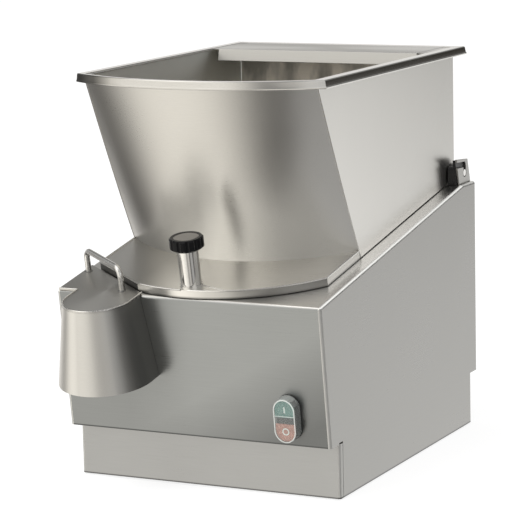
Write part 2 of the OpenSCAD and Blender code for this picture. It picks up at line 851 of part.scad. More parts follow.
// Rotor: a disc with backward-swept vanes that carry the potatoes round to the outlet
module vane() {
  root = hub_r - 2;
  tip = chamber_r - rotor_gap - 4;
  intersection() {
    translate([vane_r - 2, 0]) difference() {
      circle(vane_r);
      circle(vane_r - vane_t);
    }
    difference() {
      circle(tip);
      circle(root);
    }
    square(far);
  }
}
module rotor_disc() {
  color(polished) at_rotor(rotor_under) difference() {
    union() {
      cylinder(h = rotor_t, r = chamber_r - rotor_gap);
      cylinder(h = hub_top - rotor_under, r = hub_r);
      for (i = [0 : vanes - 1]) rotate(i * 360 / vanes) linear_extrude(rotor_t + vane_h) vane();
    }
    translate([0, 0, -1]) cylinder(h = far, r = shaft_r + seat_fit);
  }
}
module rotor_nut() {
  nut_h = 14;
  nut_r = 24;
  crown_h = 6;
  color(polished) at_rotor(hub_top) difference() {
    union() {
      cylinder(h = nut_h, r = nut_r, $fn = 6);
      translate([0, 0, nut_h]) cylinder(h = crown_h, r1 = 0.75 * nut_r, r2 = 0.42 * nut_r);
    }
    translate([0, 0, -1]) cylinder(h = nut_h - 1, r = shaft_r + seat_fit);
  }
}
module rotor_shaft() {
  under = pulley_under - rotor_tail;
  nut_grip = 10;
  color(polished) at_rotor(under) cylinder(h = hub_top + nut_grip - under, r = shaft_r);
}

// Push buttons under their clear boot: half-round heads with a lens strip between them
module switch_collar() {
  half = collar_r - lens_side;
  color(black) at_switch() difference() {
    union() {
      linear_extrude(collar_base) round_slot(boot_r, boot_half);
      linear_extrude(collar_h) round_slot(collar_r, boot_half);
      slab(-half, half, -lens_w / 2, lens_w / 2, 0, lens_h);
    }
    for (end = [-1, 1]) translate([0, end * button_pitch / 2, 0]) {
      translate([0, 0, collar_floor]) cylinder(h = collar_h, r = button_d / 2 + slide_fit);
      translate([0, 0, -1]) cylinder(h = collar_h, r = stem_r + slide_fit);
    }
  }
}
module switch_boot() {
  color([0.9, 0.9, 0.9, 0.4]) at_switch() translate([0, 0, collar_base]) difference() {
    linear_extrude(boot_h - collar_base) round_slot(boot_r, boot_half);
    translate([0, 0, -1]) linear_extrude(boot_h - collar_base - boot_t + 1)
      round_slot(boot_r - boot_t, boot_half);
  }
}
module button() {
  under = collar_h + button_travel + head_fit;
  translate([0, button_pitch / 2, -stem_in]) cylinder(h = stem_in + button_under, r = stem_r);
  translate([0, button_pitch / 2, button_under]) cylinder(h = under - button_under, r = button_d / 2);
  translate([0, 0, under]) linear_extrude(button_proud - under) intersection() {
    round_slot(collar_r - slide_fit, boot_half);
    translate([-far / 2, lens_w / 2 + slide_fit]) square(far);
  }
}
module start_button() color("seagreen") at_switch() button();
module stop_button() color("firebrick") at_switch() mirror([0, 1, 0]) button();
module contact_block() {
  tail = -sheet - stem_in - button_travel - block_tail;
  color(black) at_switch() difference() {
    union() {
      slab(-block_half, block_half, -block_rise, block_rise, tail, -sheet);
      slab(-ear_half, ear_half, -ear_rise, ear_rise, tail + ear_in, -sheet - ear_in);
    }
    for (end = [-1, 1]) translate([0, end * button_pitch / 2, -stem_in - button_travel - 1])
      cylinder(h = far, r = stem_r + slide_fit);
  }
}

// Hinge on the rear ledge, one at each side
module hinge_blocks() {
  front = -hinge_block_front;
  rear = -hinge_block_rear;
  r = hinge_block_r;
  color(black) both_sides() translate([hopper_half + hinge_gap + block_w / 2, rear_y, ledge_z])
    difference() {
      union() {
        across(block_w) union() {
          translate([front, 0]) square([rear - front, hinge_block_h - r]);
          translate([front + r, 0]) square([rear - front - 2 * r, hinge_block_h]);
          for (y = [front + r, rear - r]) translate([y, hinge_block_h - r]) circle(r);
        }
        translate([(block_w - liner_t) / 2, 0, 0]) across(liner_t) bracket_plan(liner_edge);
      }
      hinge_bore(hinge_pin_d / 2 + run_fit);
    }
}
module bracket_plan(inset) {
  polygon([
    [inset - bracket_foot[0], 0], [-bracket_foot[1] - inset, 0],
    [-bracket_rear_top[0] - inset, bracket_rear_top[1] - inset],
    [inset - bracket_front_top[0], bracket_front_top[1] - inset]
  ]);
}
module hinge_bore(r) translate([-far / 2, -hinge_in, hinge_up]) rotate([0, 90, 0]) cylinder(h = far, r = r);
module hinge_brackets() {
  plate_x = hopper_half + hinge_gap + block_w + bracket_gap;
  pocket = [-hinge_in, hinge_up];
  past = -2 * bracket_front_top[0];
  color(steel_dark) both_sides() translate([plate_x + bracket_t / 2, rear_y, ledge_z])
    across(bracket_t) difference() {
      bracket_plan(0);
      polygon([
        pocket + [-hook_half, 0], pocket + [hook_half, 0], pocket + [hook_half, hook_knee[1]],
        pocket + [hook_half / 3, hook_knee[2]], [past, hook_mouth + hook_half],
        [past, hook_mouth - hook_half], pocket + [-hook_half, hook_knee[0]]
      ]);
      translate(pocket) circle(hinge_pin_d / 2 + 1);
    }
}
module hinge_pins() {
  pin_l = hinge_gap + block_w + bracket_t;
  color(polished) both_sides() translate([hopper_half, hinge_y, hinge_z]) rotate([0, 90, 0])
    cylinder(h = pin_l, r = hinge_pin_d / 2);
}

// Hopper: flat sides and rear, and a front wall rolled to a cone
module front_cone(inset) {
  below = cone_spare;
  above = front_rise + cone_spare;
  shrink = inset / cos(cone_half);
  translate([0, foot_y, foot_z]) rotate([cone_lean, 0, 0]) translate([0, front_foot_r, -below])
    cylinder(h = below + above, r1 = front_foot_r - below * tan(cone_half) - shrink,
      r2 = front_foot_r + above * tan(cone_half) - shrink, $fn = 180);
}
module hopper_form(inset) {
  half = hopper_half - inset;
  intersection() {
    slab(-half, half, -far, hopper_rear_y - inset, -inset, hopper_top_z - rim_t + inset);
    union() {
      front_cone(inset);
      translate([0, foot_y, foot_z]) rotate([cone_lean, 0, 0])
        slab(-far, far, front_foot_r, far, -far, far);
    }
  }
}
module hopper_shell() {
  color(steel) difference() {
    hopper_form(0);
    hopper_form(hopper_wall);
    on_deck() slab(-far, far, -far, deck_l, -far, wall_gap);
    on_deck() slab(-far, far, -far, crease_s, -far, flange_top);
    slab(-far, far, rear_y - ledge_d, far, 0, ledge_z + wall_gap);
  }
}
module mouth_plan(side, front, rear) {
  r = mouth_arc_r + front;
  centre_y = mouth_front_y + mouth_arc_r;
  intersection() {
    translate([-hopper_half - side, -far]) square([hopper_w + 2 * side, far + hopper_rear_y + rear]);
    union() {
      translate([0, centre_y]) circle(r, $fn = 180);
      translate([-far, centre_y]) square(2 * far);
    }
  }
}
module hopper_rim() {
  hem = rim_hem_out;
  color(steel) translate([0, 0, hopper_top_z - rim_drop]) difference() {
    union() {
      linear_extrude(rim_drop) mouth_plan(rim_side, rim_front, rim_rear);
      linear_extrude(rim_hem_h) mouth_plan(rim_side + hem, rim_front + hem, rim_rear + hem);
    }
    translate([0, 0, -1]) linear_extrude(rim_drop - rim_t + 1)
      mouth_plan(rim_side - rim_t, rim_front - rim_t, rim_rear - rim_t);
    translate([0, 0, -1]) linear_extrude(rim_drop + 2)
      mouth_plan(-hopper_wall, -hopper_wall, -hopper_wall);
  }
}
module rear_guard() {
  half = hopper_half - hopper_wall - guard_side_gap;
  rear = hopper_rear_y - hopper_wall;
  color(steel) {
    slab(-half, half, rear - guard_d, rear, hopper_top_z - rim_t, hopper_top_z);
    slab(-half, half, rear - guard_d, rear - guard_d + rim_t, hopper_top_z - guard_h, hopper_top_z - rim_t);
  }
}
module past_cut(from) {
  translate(handle_left) rotate(handle_turn) translate([-far / 2, from]) square(far);
}
module flange_plan(grow) {
  intersection() {
    union() {
      translate([0, flange_r]) circle(flange_r + grow, $fn = 180);
      translate([-far, flange_r]) square(2 * far);
    }
    translate([-hopper_half - grow, -far]) square([hopper_w + 2 * grow, 2 * far]);
    past_cut(flange_cut - grow);
  }
}
module feed_hole(grow) {
  intersection() {
    translate([0, chamber_s]) circle(chamber_r - feed_edge + grow);
    translate([0, front_foot_s + foot_arc_r]) circle(foot_arc_r - feed_edge + grow, $fn = 180);
  }
}
module hopper_flange() {
  skirt_h = flange_top - flange_t - flange_gap;
  inner_half = hopper_half - hopper_wall;
  color(steel) difference() {
    on_deck() {
      difference() {
        union() {
          translate([0, 0, flange_top - flange_t]) linear_extrude(flange_t) flange_plan(0);
          translate([0, 0, flange_gap]) linear_extrude(skirt_h) difference() {
            flange_plan(0);
            flange_plan(-flange_t);
            translate([-far, crease_s]) square(2 * far);
          }
          translate([0, 0, -flange_gap]) linear_extrude(flange_top) feed_hole(feed_lip);
        }
        translate([0, 0, -far / 2]) linear_extrude(far) feed_hole(0);
        translate([0, lock_s, 0]) cylinder(h = far, r = spindle_d / 2 + slide_fit);
        both_sides() slab(inner_half, far, crease_s, far, -far, far);
      }
    }
    slab(-far, far, hopper_rear_y - hopper_wall, far, 0, far);
  }
}

// Lock: a post on the flange, and a spindle whose hammer head turns under the deck
module lock_post() {
  color(polished) at_lock(flange_top) {
    ring(post_l, post_d / 2, spindle_d / 2 + run_fit);
    ring(weld_h, post_d / 2 + weld_out, post_d / 2 - 1);
  }
}
module lock_keeper() {
  color(steel_dark) on_deck() translate([0, 0, -sheet - keeper_t]) linear_extrude(keeper_t) difference() {
    translate([-keeper_w / 2, lock_s - keeper_ahead]) square([keeper_w, keeper_d]);
    lock_slot();
  }
}
module lock_spindle() {
  head_top = -sheet - keeper_t - head_gap;
  color(polished) at_lock(head_top) {
    cylinder(h = knob_under + knob_grip - head_top, r = spindle_d / 2);
    translate([0, 0, -head_t]) linear_extrude(head_t) rotate(90) round_slot(head_r, head_half);
  }
}
module lock_knob() {
  r = knob_d / 2;
  color(black) at_lock(knob_under) difference() {
    rotate_extrude() polygon([
      [0, 0], [r - knob_chin[0], 0], [r, knob_chin[1]], [r, knob_h - knob_edge],
      [r - knob_edge, knob_h], [0, knob_h]
    ]);
    for (i = [0 : flutes - 1]) rotate(i * 360 / flutes) translate([r + flute_out, 0, -1])
      cylinder(h = knob_h + 2, r = flute_r);
    translate([0, 0, -1]) cylinder(h = knob_grip + 1, r = spindle_d / 2 + seat_fit);
    translate([0, 0, knob_h - dish_h]) cylinder(h = far, r = r - knob_dish);
  }
}
module knob_cap() {
  color([0.55, 0.54, 0.52]) at_lock(knob_under + knob_h - dish_h)
    cylinder(h = cap_h, r = knob_d / 2 - knob_dish - seat_fit);
}

// Chute that lifts out with its handle and the knife frame
function chute_r(h) =
  chute_mouth_r + (chute_top_r - chute_mouth_r) * (h + chute_drop) / (chute_drop + cover_top);
module chute_form(h0, h1, inset) {
  r0 = chute_r(h0) - inset;
  r1 = chute_r(h1) - inset;
  translate([chute_x, -chute_ahead, h0]) cylinder(h = h1 - h0, r1 = r0, r2 = r1);
  translate([chute_x, chute_ahead, 0]) rotate([90, 0, 0]) linear_extrude(2 * chute_ahead)
    polygon([[-r0, h0], [r0, h0], [r1, h1], [-r1, h1]]);
}
module cover_plan() {
  right = chute_x + chute_top_r;
  left = cover_edge - body_w / 2;
  translate([chute_x, -chute_ahead]) circle(chute_top_r);
  translate([chute_x - chute_top_r, -chute_ahead]) square([2 * chute_top_r, chute_ahead + fold_back]);
  difference() {
    translate([left, 0]) square([right - left, chamber_s]);
    flange_plan(plate_gap);
    past_cut(flange_cut - plate_gap);
  }
}
module tongue_plan(play) {
  translate([tongue_x - body_w / 2 - play, tongue_s - play])
    square([chute_t + 2 * play, tongue_l + 2 * play]);
}
module chute() {
  color(steel) {
    on_deck() translate([0, 0, lay_gap]) linear_extrude(chute_t) cover_plan();
    on_deck() translate([0, 0, lay_gap - tongue_h]) linear_extrude(tongue_h) tongue_plan(0);
    difference() {
      on_deck() difference() {
        chute_form(-chute_drop, lay_gap, 0);
        chute_form(-chute_drop - 1, lay_gap + 1, chute_t);
      }
      on_panel() slab(-far, far, -slide_fit, far, -far, bend_r);
    }
  }
}
module handle() {
  rise = handle_h - handle_d / 2 - handle_bend;
  color(polished) on_deck() translate([handle_left[0], handle_left[1], cover_top]) rotate(handle_turn) {
    for (x = [0, handle_span]) translate([x, 0, 0]) cylinder(h = rise, r = handle_d / 2);
    translate([handle_bend, 0, rise + handle_bend]) rotate([0, 90, 0])
      cylinder(h = handle_span - 2 * handle_bend, r = handle_d / 2);
    translate([handle_bend, 0, rise]) rotate([90, 0, 180]) rotate_extrude(angle = 90)
      translate([handle_bend, 0]) circle(handle_d / 2);
    translate([handle_span - handle_bend, 0, rise]) rotate([90, 0, 0]) rotate_extrude(angle = 90)
      translate([handle_bend, 0]) circle(handle_d / 2);
  }
}
upright_n = floor(outlet_w / chip) - 1;
level_n = floor(grid_h / chip) - 1;
function spread(n) = [for (i = [0 : n - 1]) (i - (n - 1) / 2) * chip];
module blade_edge(t, w) {
  bevel = w - blade_bevel;
  polygon([[0, -t / 2], [bevel, -t / 2], [w, 0], [bevel, t / 2], [0, t / 2]]);
}
module upright_blade_places() for (x = spread(upright_n))
  translate([chute_x + x, upright_s, floor_top - blade_seat]) children();
module level_blade_places() for (z = spread(level_n))
  translate([chute_x, level_s, floor_top + grid_h / 2 + z]) children();
module knife_frame() {
  half = outlet_w / 2 + frame_bar;
  blade_h = grid_h + 2 * blade_seat;
  blade_l = outlet_w + 2 * blade_seat;
  slot_t = blade_t + 2 * slot_fit;
  color(polished) difference() {
    on_deck() difference() {
      slab(chute_x - half, chute_x + half, -knife_l, 0, floor_top - frame_bar, lay_gap);
      slab(chute_x - outlet_w / 2, chute_x + outlet_w / 2, -far, far, floor_top, grid_top);
      upright_blade_places() slab(-slot_t / 2, slot_t / 2, -slot_fit, blade_w + slot_fit, 0, blade_h);
      level_blade_places()
        slab(-blade_l / 2, blade_l / 2, -slot_fit, blade_w + slot_fit, -slot_t / 2, slot_t / 2);
    }
    on_panel() slab(-far, far, -slide_fit, far, -far, far);
  }
}
module upright_blades() {
  color(polished) on_deck() upright_blade_places() rotate(90) linear_extrude(grid_h + 2 * blade_seat)
    blade_edge(blade_t, blade_w);
}
module level_blades() {
  color(polished) on_deck() level_blade_places() across(outlet_w + 2 * blade_seat)
    blade_edge(blade_t, blade_w);
}

housing();
left_side_panel();
right_side_panel();
rear_panel();
front_plinth();
rear_plinth();
base_plate();
rubber_feet();
rear_panel_screws();
cable_gland();
control_box();
chamber();
bearing_housing();
rotor_bearings();
shaft_seal();
bearing_bolts();
motor_case();
motor_stator();
motor_end_caps();
motor_bracket();
motor_bolts();
drive_belt();
switch_collar();
switch_boot();
contact_block();
hinge_brackets();
hinge_blocks();
lock_keeper();
hopper_shell();
hopper_rim();
hopper_flange();
rear_guard();
hinge_pins();
lock_post();
lock_spindle();
lock_knob();
knob_cap();
chute();
handle();
knife_frame();
upright_blades();
level_blades();
rotor_disc();
rotor_nut();
rotor_shaft();
rotor_pulley();
motor_core();
motor_shaft();
motor_pulley();
start_button();
stop_button();
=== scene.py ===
"""Looks of a counter-top potato chipper in satin stainless steel, built around its CAD frame."""

import math

import bpy
from mathutils import Matrix, Vector


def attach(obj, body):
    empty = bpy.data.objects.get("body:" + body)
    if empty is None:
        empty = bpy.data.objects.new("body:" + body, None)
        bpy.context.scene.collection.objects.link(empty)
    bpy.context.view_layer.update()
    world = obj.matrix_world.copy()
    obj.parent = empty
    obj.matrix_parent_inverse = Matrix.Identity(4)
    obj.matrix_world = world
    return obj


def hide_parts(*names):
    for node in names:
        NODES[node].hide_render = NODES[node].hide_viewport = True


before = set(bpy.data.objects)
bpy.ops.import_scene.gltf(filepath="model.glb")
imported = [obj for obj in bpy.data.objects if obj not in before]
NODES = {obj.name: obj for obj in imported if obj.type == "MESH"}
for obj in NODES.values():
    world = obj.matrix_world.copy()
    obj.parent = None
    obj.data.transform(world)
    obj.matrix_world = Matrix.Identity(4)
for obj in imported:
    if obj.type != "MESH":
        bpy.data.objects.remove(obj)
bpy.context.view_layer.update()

bl_info = {
    "name": "Potato chipper looks",
    "version": (1, 0, 0),
    "blender": (4, 5, 0),
    "location": "View3D > Sidebar > Chipper",
    "description": "Steel finishes, knob, push buttons, rim and studio for a potato chipper",
    "category": "Object",
}

ORIGIN = (0.0, 0.0, 0.0)
RIGHT, LEFT = (1.0, 0.0, 0.0), (-1.0, 0.0, 0.0)
REAR, FRONT = (0.0, 1.0, 0.0), (0.0, -1.0, 0.0)
UP = (0.0, 0.0, 1.0)

# The deck's front edge, front to rear and up, and the directions of the deck and the front panel
DECK_FRONT = (-0.23181, 0.267)
DECK_SLOPE = math.radians(10.4)
PANEL_LEAN = math.radians(7.4)
DECK_ALONG = Vector((0.0, math.cos(DECK_SLOPE), math.sin(DECK_SLOPE)))
DECK_OUT = Vector((0.0, -math.sin(DECK_SLOPE), math.cos(DECK_SLOPE)))
PANEL_UP = Vector((0.0, -math.sin(PANEL_LEAN), math.cos(PANEL_LEAN)))
PANEL_OUT = Vector((0.0, -math.cos(PANEL_LEAN), -math.sin(PANEL_LEAN)))
SWITCH_AT = Vector((0.139, *DECK_FRONT)) - 0.153 * PANEL_UP

# Places on the deck: reach is up its slope from the front edge, and top is off its face
HANDLE_FEET = ((-0.184, 0.069), (-0.099, 0.008))
PLATE_TOP, PLATE_NOSE = 0.0023, 0.012
POST_REACH, POST_CLEAR = 0.021, 0.022
INSERT_TOP = 0.07822
FLANGE_TOP = 0.012
FOOT_REACH, FOOT_RADIUS, FOOT_GAP = 0.115, 0.249, 0.018

# How near an edge's middle has to be to count as on a line
ON_LINE = 0.0002

# The front panel's lower edge, and the lowest edge of the side panels and the plinth: bands that
# are darkened as painted shadow
PANEL_FOOT = (0.0785, 0.0772)
LOWEST = (0.0045, 0.003)


class ChipperFinishes(bpy.types.PropertyGroup):
    """Colours of the machine's finishes, some of them with painted light and shade."""

    steel: bpy.props.FloatVectorProperty(
        name="Steel", description="Satin stainless sheet",
        subtype="COLOR", size=3, default=(0.56, 0.55, 0.525),
    )
    # Duller than the hopper's sheet, and darkened further as painted shade for the darker
    # surroundings the base reflects
    body: bpy.props.FloatVectorProperty(
        name="Body steel", description="Duller sheet of the base",
        subtype="COLOR", size=3, default=(0.38, 0.375, 0.36),
    )
    # Painted shade: the front panel is darkened to stand in for the shaded floor it reflects
    panel: bpy.props.FloatVectorProperty(
        name="Front panel", description="Darker front panel",
        subtype="COLOR", size=3, default=(0.282, 0.291, 0.29),
    )
    # Painted shade: darker base for the plinths and rear panel low by the floor
    plinth: bpy.props.FloatVectorProperty(
        name="Plinth", description="Plinths and rear panel",
        subtype="COLOR", size=3, default=(0.352, 0.354, 0.352),
    )
    # Painted light: the deck's top is paler than the sheet below it
    deck: bpy.props.FloatVectorProperty(
        name="Deck", description="Paler sloping deck",
        subtype="COLOR", size=3, default=(0.62, 0.61, 0.59),
    )
    # Painted highlight along the side panels' top folds
    fold_highlight: bpy.props.FloatVectorProperty(
        name="Fold", description="Bright top folds of the side panels",
        subtype="COLOR", size=3, default=(0.85, 0.845, 0.82),
    )
    # Painted light: the flange's top is paler than its skirt
    flange: bpy.props.FloatVectorProperty(
        name="Flange", description="Flange round the hopper's foot",
        subtype="COLOR", size=3, default=(0.8, 0.785, 0.75),
    )
    # Painted light: paler sheet inside the hopper, standing in for light falling in through the
    # open top
    inside: bpy.props.FloatVectorProperty(
        name="Inside", description="Hopper's inner faces",
        subtype="COLOR", size=3, default=(0.75, 0.765, 0.74),
    )
    # Painted shade: warm brownish tone on the rear wall's inner face under the guard
    rear_wall: bpy.props.FloatVectorProperty(
        name="Rear wall", description="Warmer rear wall inside",
        subtype="COLOR", size=3, default=(0.88, 0.8, 0.71),
    )
    polished: bpy.props.FloatVectorProperty(
        name="Polished steel", description="Post, handle, seams and knives",
        subtype="COLOR", size=3, default=(0.68, 0.67, 0.65),
    )
    casting: bpy.props.FloatVectorProperty(
        name="Casting", description="Cast aluminium inside",
        subtype="COLOR", size=3, default=(0.5, 0.51, 0.53),
    )
    black: bpy.props.FloatVectorProperty(
        name="Black plastic", description="Knob, hinge blocks and rubber",
        subtype="COLOR", size=3, default=(0.005, 0.005, 0.0055),
    )
    insert: bpy.props.FloatVectorProperty(
        name="Knob insert", description="Grey disc in the knob",
        subtype="COLOR", size=3, default=(0.115, 0.106, 0.095),
    )
    green: bpy.props.FloatVectorProperty(
        name="Start green", description="Start button",
        subtype="COLOR", size=3, default=(0.075, 0.19, 0.16),
    )
    red: bpy.props.FloatVectorProperty(
        name="Stop red", description="Stop button",
        subtype="COLOR", size=3, default=(0.36, 0.17, 0.125),
    )
    boot: bpy.props.FloatVectorProperty(
        name="Clear boot", description="Milky boot over the buttons",
        subtype="COLOR", size=3, default=(0.5, 0.52, 0.5),
    )


class ChipperSizes(bpy.types.PropertyGroup):
    """Sizes of the pieces that are modelled here."""

    rim_top: bpy.props.FloatProperty(
        name="Rim height", description="Rim above the table", default=0.554, unit="LENGTH",
    )
    mouth_half: bpy.props.FloatProperty(
        name="Mouth half width", description="Middle to the hopper's outer side",
        default=0.1714, unit="LENGTH",
    )
    mouth_rear: bpy.props.FloatProperty(
        name="Mouth rear", description="Place of the hopper's rear face",
        default=0.285676, unit="LENGTH",
    )
    arc_centre: bpy.props.FloatProperty(
        name="Arc centre", description="Centre of the mouth's front curve, front to rear",
        default=0.08931, unit="LENGTH",
    )
    arc_radius: bpy.props.FloatProperty(
        name="Arc radius", description="Radius of the mouth's front curve",
        default=0.32134, unit="LENGTH",
    )
    rim_side: bpy.props.FloatProperty(
        name="Rim at the sides", description="Overhang past the side walls",
        default=0.0126, unit="LENGTH",
    )
    rim_front: bpy.props.FloatProperty(
        name="Rim at the front", description="Overhang past the front wall",
        default=0.004, unit="LENGTH",
    )
    rim_rear: bpy.props.FloatProperty(
        name="Rim at the rear", description="Overhang past the rear wall",
        default=0.019, unit="LENGTH",
    )
    rim_drop: bpy.props.FloatProperty(
        name="Rim drop", description="Depth of the rim", default=0.0117, unit="LENGTH",
    )
    rim_curl: bpy.props.FloatProperty(
        name="Rim curl", description="Radius of its folded edge", default=0.0022, unit="LENGTH",
    )
    sheet: bpy.props.FloatProperty(
        name="Sheet", description="Thickness of the sheet", default=0.002, unit="LENGTH",
    )
    boot_radius: bpy.props.FloatProperty(
        name="Boot radius", description="Radius of its round ends", default=0.017, unit="LENGTH",
    )
    boot_half: bpy.props.FloatProperty(
        name="Boot half", description="Middle to the centres of its ends",
        default=0.0145, unit="LENGTH",
    )
    seam: bpy.props.FloatProperty(
        name="Seam", description="Half width of the corner seams", default=0.0007, unit="LENGTH",
    )
    weld: bpy.props.FloatProperty(
        name="Weld", description="Half width of the weld beads", default=0.0012, unit="LENGTH",
    )


class ChipperStudio(bpy.types.PropertyGroup):
    """Camera of the studio."""

    azimuth: bpy.props.FloatProperty(
        name="Azimuth", description="Camera's turn round the machine, in degrees", default=26.29,
    )
    elevation: bpy.props.FloatProperty(
        name="Elevation", description="Camera's height over the level, in degrees", default=9.99,
    )
    roll: bpy.props.FloatProperty(
        name="Roll", description="Camera's roll, in degrees", default=-1.29,
    )
    distance: bpy.props.FloatProperty(
        name="Distance", description="Camera to its target", default=3.8348, unit="LENGTH",
    )
    target: bpy.props.FloatVectorProperty(
        name="Target", description="Point the camera turns round",
        subtype="XYZ", size=3, default=(-0.12097, 0.25089, 0.22402),
    )
    lens: bpy.props.FloatProperty(
        name="Lens", description="Focal length on a 36 mm sensor, in mm", default=173.57,
    )


def finishes():
    return bpy.context.scene.chipper_finishes


def sizes():
    return bpy.context.scene.chipper_sizes


def studio():
    return bpy.context.scene.chipper_studio


def toward(azimuth, elevation):
    """Unit vector at an azimuth from the front, turning to the right, and an elevation."""
    a, e = math.radians(azimuth), math.radians(elevation)
    return Vector((math.sin(a) * math.cos(e), -math.cos(a) * math.cos(e), math.sin(e)))


def axes_of(across, up, out):
    """Turn that lays x, y and z along three directions."""
    return Matrix((across, up, out)).transposed().to_4x4()


def shade(colour, share):
    """A colour times a share."""
    return tuple(share * c for c in colour)


def bare_tree(owner):
    """Emptied node tree of a material or a world."""
    owner.use_nodes = True
    owner.node_tree.nodes.clear()
    return owner.node_tree


def fresh_material(name):
    material = bpy.data.materials.new(name)
    tree = bare_tree(material)
    shader = tree.nodes.new("ShaderNodeBsdfPrincipled")
    output = tree.nodes.new("ShaderNodeOutputMaterial")
    tree.links.new(shader.outputs["BSDF"], output.inputs["Surface"])
    return material, tree, shader


def coords_of(tree, kind):
    return tree.nodes.new("ShaderNodeTexCoord").outputs[kind]


def maths(tree, operation, *values):
    """One sum on sockets and plain numbers."""
    node = tree.nodes.new("ShaderNodeMath")
    node.operation = operation
    for socket, value in zip(node.inputs, values):
        if isinstance(value, float):
            socket.default_value = value
        else:
            tree.links.new(value, socket)
    return node.outputs["Value"]


def along_of(tree, vector, direction):
    """How far a vector goes along a direction."""
    node = tree.nodes.new("ShaderNodeVectorMath")
    node.operation = "DOT_PRODUCT"
    node.inputs[1].default_value = direction
    tree.links.new(vector, node.inputs[0])
    return node.outputs["Value"]


def carried(tree, value, start, end, low=0.0, high=1.0, interpolation="LINEAR"):
    """A value carried from one range to another and held at its ends."""
    node = tree.nodes.new("ShaderNodeMapRange")
    node.interpolation_type = interpolation
    node.inputs["From Min"].default_value = start
    node.inputs["From Max"].default_value = end
    node.inputs["To Min"].default_value = low
    node.inputs["To Max"].default_value = high
    tree.links.new(value, node.inputs["Value"])
    return node.outputs["Result"]


def noise_at(tree, scale, detail, stretch=(1.0, 1.0, 1.0)):
    """Noise on the object's own coordinates, stretched along the axes."""
    mapping = tree.nodes.new("ShaderNodeMapping")
    mapping.inputs["Scale"].default_value = stretch
    noise = tree.nodes.new("ShaderNodeTexNoise")
    noise.inputs["Scale"].default_value = scale
    noise.inputs["Detail"].default_value = detail
    tree.links.new(coords_of(tree, "Object"), mapping.inputs["Vector"])
    tree.links.new(mapping.outputs["Vector"], noise.inputs["Vector"])
    return noise.outputs["Fac"]


def ramp_from(tree, factor, low, high, start=0.35, end=0.65):
    ramp = tree.nodes.new("ShaderNodeValToRGB")
    ramp.color_ramp.elements[0].position = start
    ramp.color_ramp.elements[1].position = end
    ramp.color_ramp.elements[0].color = (*low, 1.0)
    ramp.color_ramp.elements[1].color = (*high, 1.0)
    tree.links.new(factor, ramp.inputs["Fac"])
    return ramp.outputs["Color"]


def range_from(tree, noise, low, high):
    """Noise spread over a range."""
    return carried(tree, noise, 0.3, 0.7, low, high)


def bump_from(tree, factor, shader, strength, distance):
    bump = tree.nodes.new("ShaderNodeBump")
    bump.inputs["Strength"].default_value = strength
    bump.inputs["Distance"].default_value = distance
    tree.links.new(factor, bump.inputs["Height"])
    tree.links.new(bump.outputs["Normal"], shader.inputs["Normal"])


def facing(direction, start, end, either=False):
    """Mask that is 1 where the object's own normal points along a direction, or either way."""
    def build(tree):
        share = along_of(tree, coords_of(tree, "Normal"), direction)
        if either:
            share = maths(tree, "ABSOLUTE", share)
        return carried(tree, share, start, end)
    return build


def span(direction, start, end):
    """Mask that goes from 0 to 1 between two places along a direction."""
    def build(tree):
        return carried(tree, along_of(tree, coords_of(tree, "Object"), direction), start, end)
    return build


def inward(centre):
    """Mask that is 1 on faces that look towards a centre."""
    def build(tree):
        away = tree.nodes.new("ShaderNodeVectorMath")
        away.operation = "SUBTRACT"
        away.inputs[1].default_value = centre
        tree.links.new(coords_of(tree, "Object"), away.inputs[0])
        out = tree.nodes.new("ShaderNodeVectorMath")
        out.operation = "DOT_PRODUCT"
        tree.links.new(away.outputs["Vector"], out.inputs[0])
        tree.links.new(coords_of(tree, "Normal"), out.inputs[1])
        return carried(tree, out.outputs["Value"], 0.004, -0.004)
    return build


def patches(stretch, low, high):
    """Mask of cloudy patches."""
    return lambda tree: range_from(tree, noise_at(tree, 1.0, 3.0, stretch), low, high)


def both(first, second):
    """Mask where two masks meet."""
    return lambda tree: maths(tree, "MULTIPLY", first(tree), second(tree))


def blend_of(tree, mask, first, second, kind="RGBA"):
    mix = tree.nodes.new("ShaderNodeMix")
    mix.data_type = kind
    tree.links.new(mask, mix.inputs["Factor"])
    tree.links.new(first, mix.inputs["A"])
    tree.links.new(second, mix.inputs["B"])
    return mix.outputs["Result"]


def satin_steel(name, colour, grain, rough=(0.26, 0.34), tones=(), spread=0.6, first_rough=None):
    """Brushed sheet: fine lines along one axis with faint cloudy patches.

    Each tone is a colour and the mask that lays it over those before it. The first tone's place
    can have a roughness of its own.
    """
    material, tree, shader = fresh_material(name)
    shader.inputs["Metallic"].default_value = 1.0
    shader.inputs["Anisotropic"].default_value = spread
    shader.inputs["Anisotropic Rotation"].default_value = 0.25
    across, along = 1400.0, 18.0
    lines = noise_at(tree, 1.0, 3.0, tuple(along if axis == grain else across for axis in "XYZ"))
    clouds = noise_at(tree, 6.0, 3.0)
    wear = maths(tree, "MULTIPLY_ADD", lines, 0.5, maths(tree, "MULTIPLY", clouds, 0.5))

    def worn(sheet):
        return ramp_from(tree, wear, shade(sheet, 0.955), tuple(min(1.0, 1.045 * c) for c in sheet))

    result = worn(colour)
    for tone, mask in tones:
        result = blend_of(tree, mask(tree), result, worn(tone))
    tree.links.new(result, shader.inputs["Base Color"])
    gloss = range_from(tree, wear, *rough)
    if first_rough:
        there = range_from(tree, wear, *first_rough)
        gloss = blend_of(tree, tones[0][1](tree), gloss, there, "FLOAT")
    tree.links.new(gloss, shader.inputs["Roughness"])
    bump_from(tree, lines, shader, 0.06, 0.00004)
    return material


def bright_steel(name, colour, rough=(0.1, 0.18)):
    """Polished steel with a faintly uneven sheen."""
    material, tree, shader = fresh_material(name)
    sheen = noise_at(tree, 400.0, 3.0)
    tone = ramp_from(tree, sheen, shade(colour, 0.95), colour)
    tree.links.new(tone, shader.inputs["Base Color"])
    tree.links.new(range_from(tree, sheen, *rough), shader.inputs["Roughness"])
    shader.inputs["Metallic"].default_value = 1.0
    return material


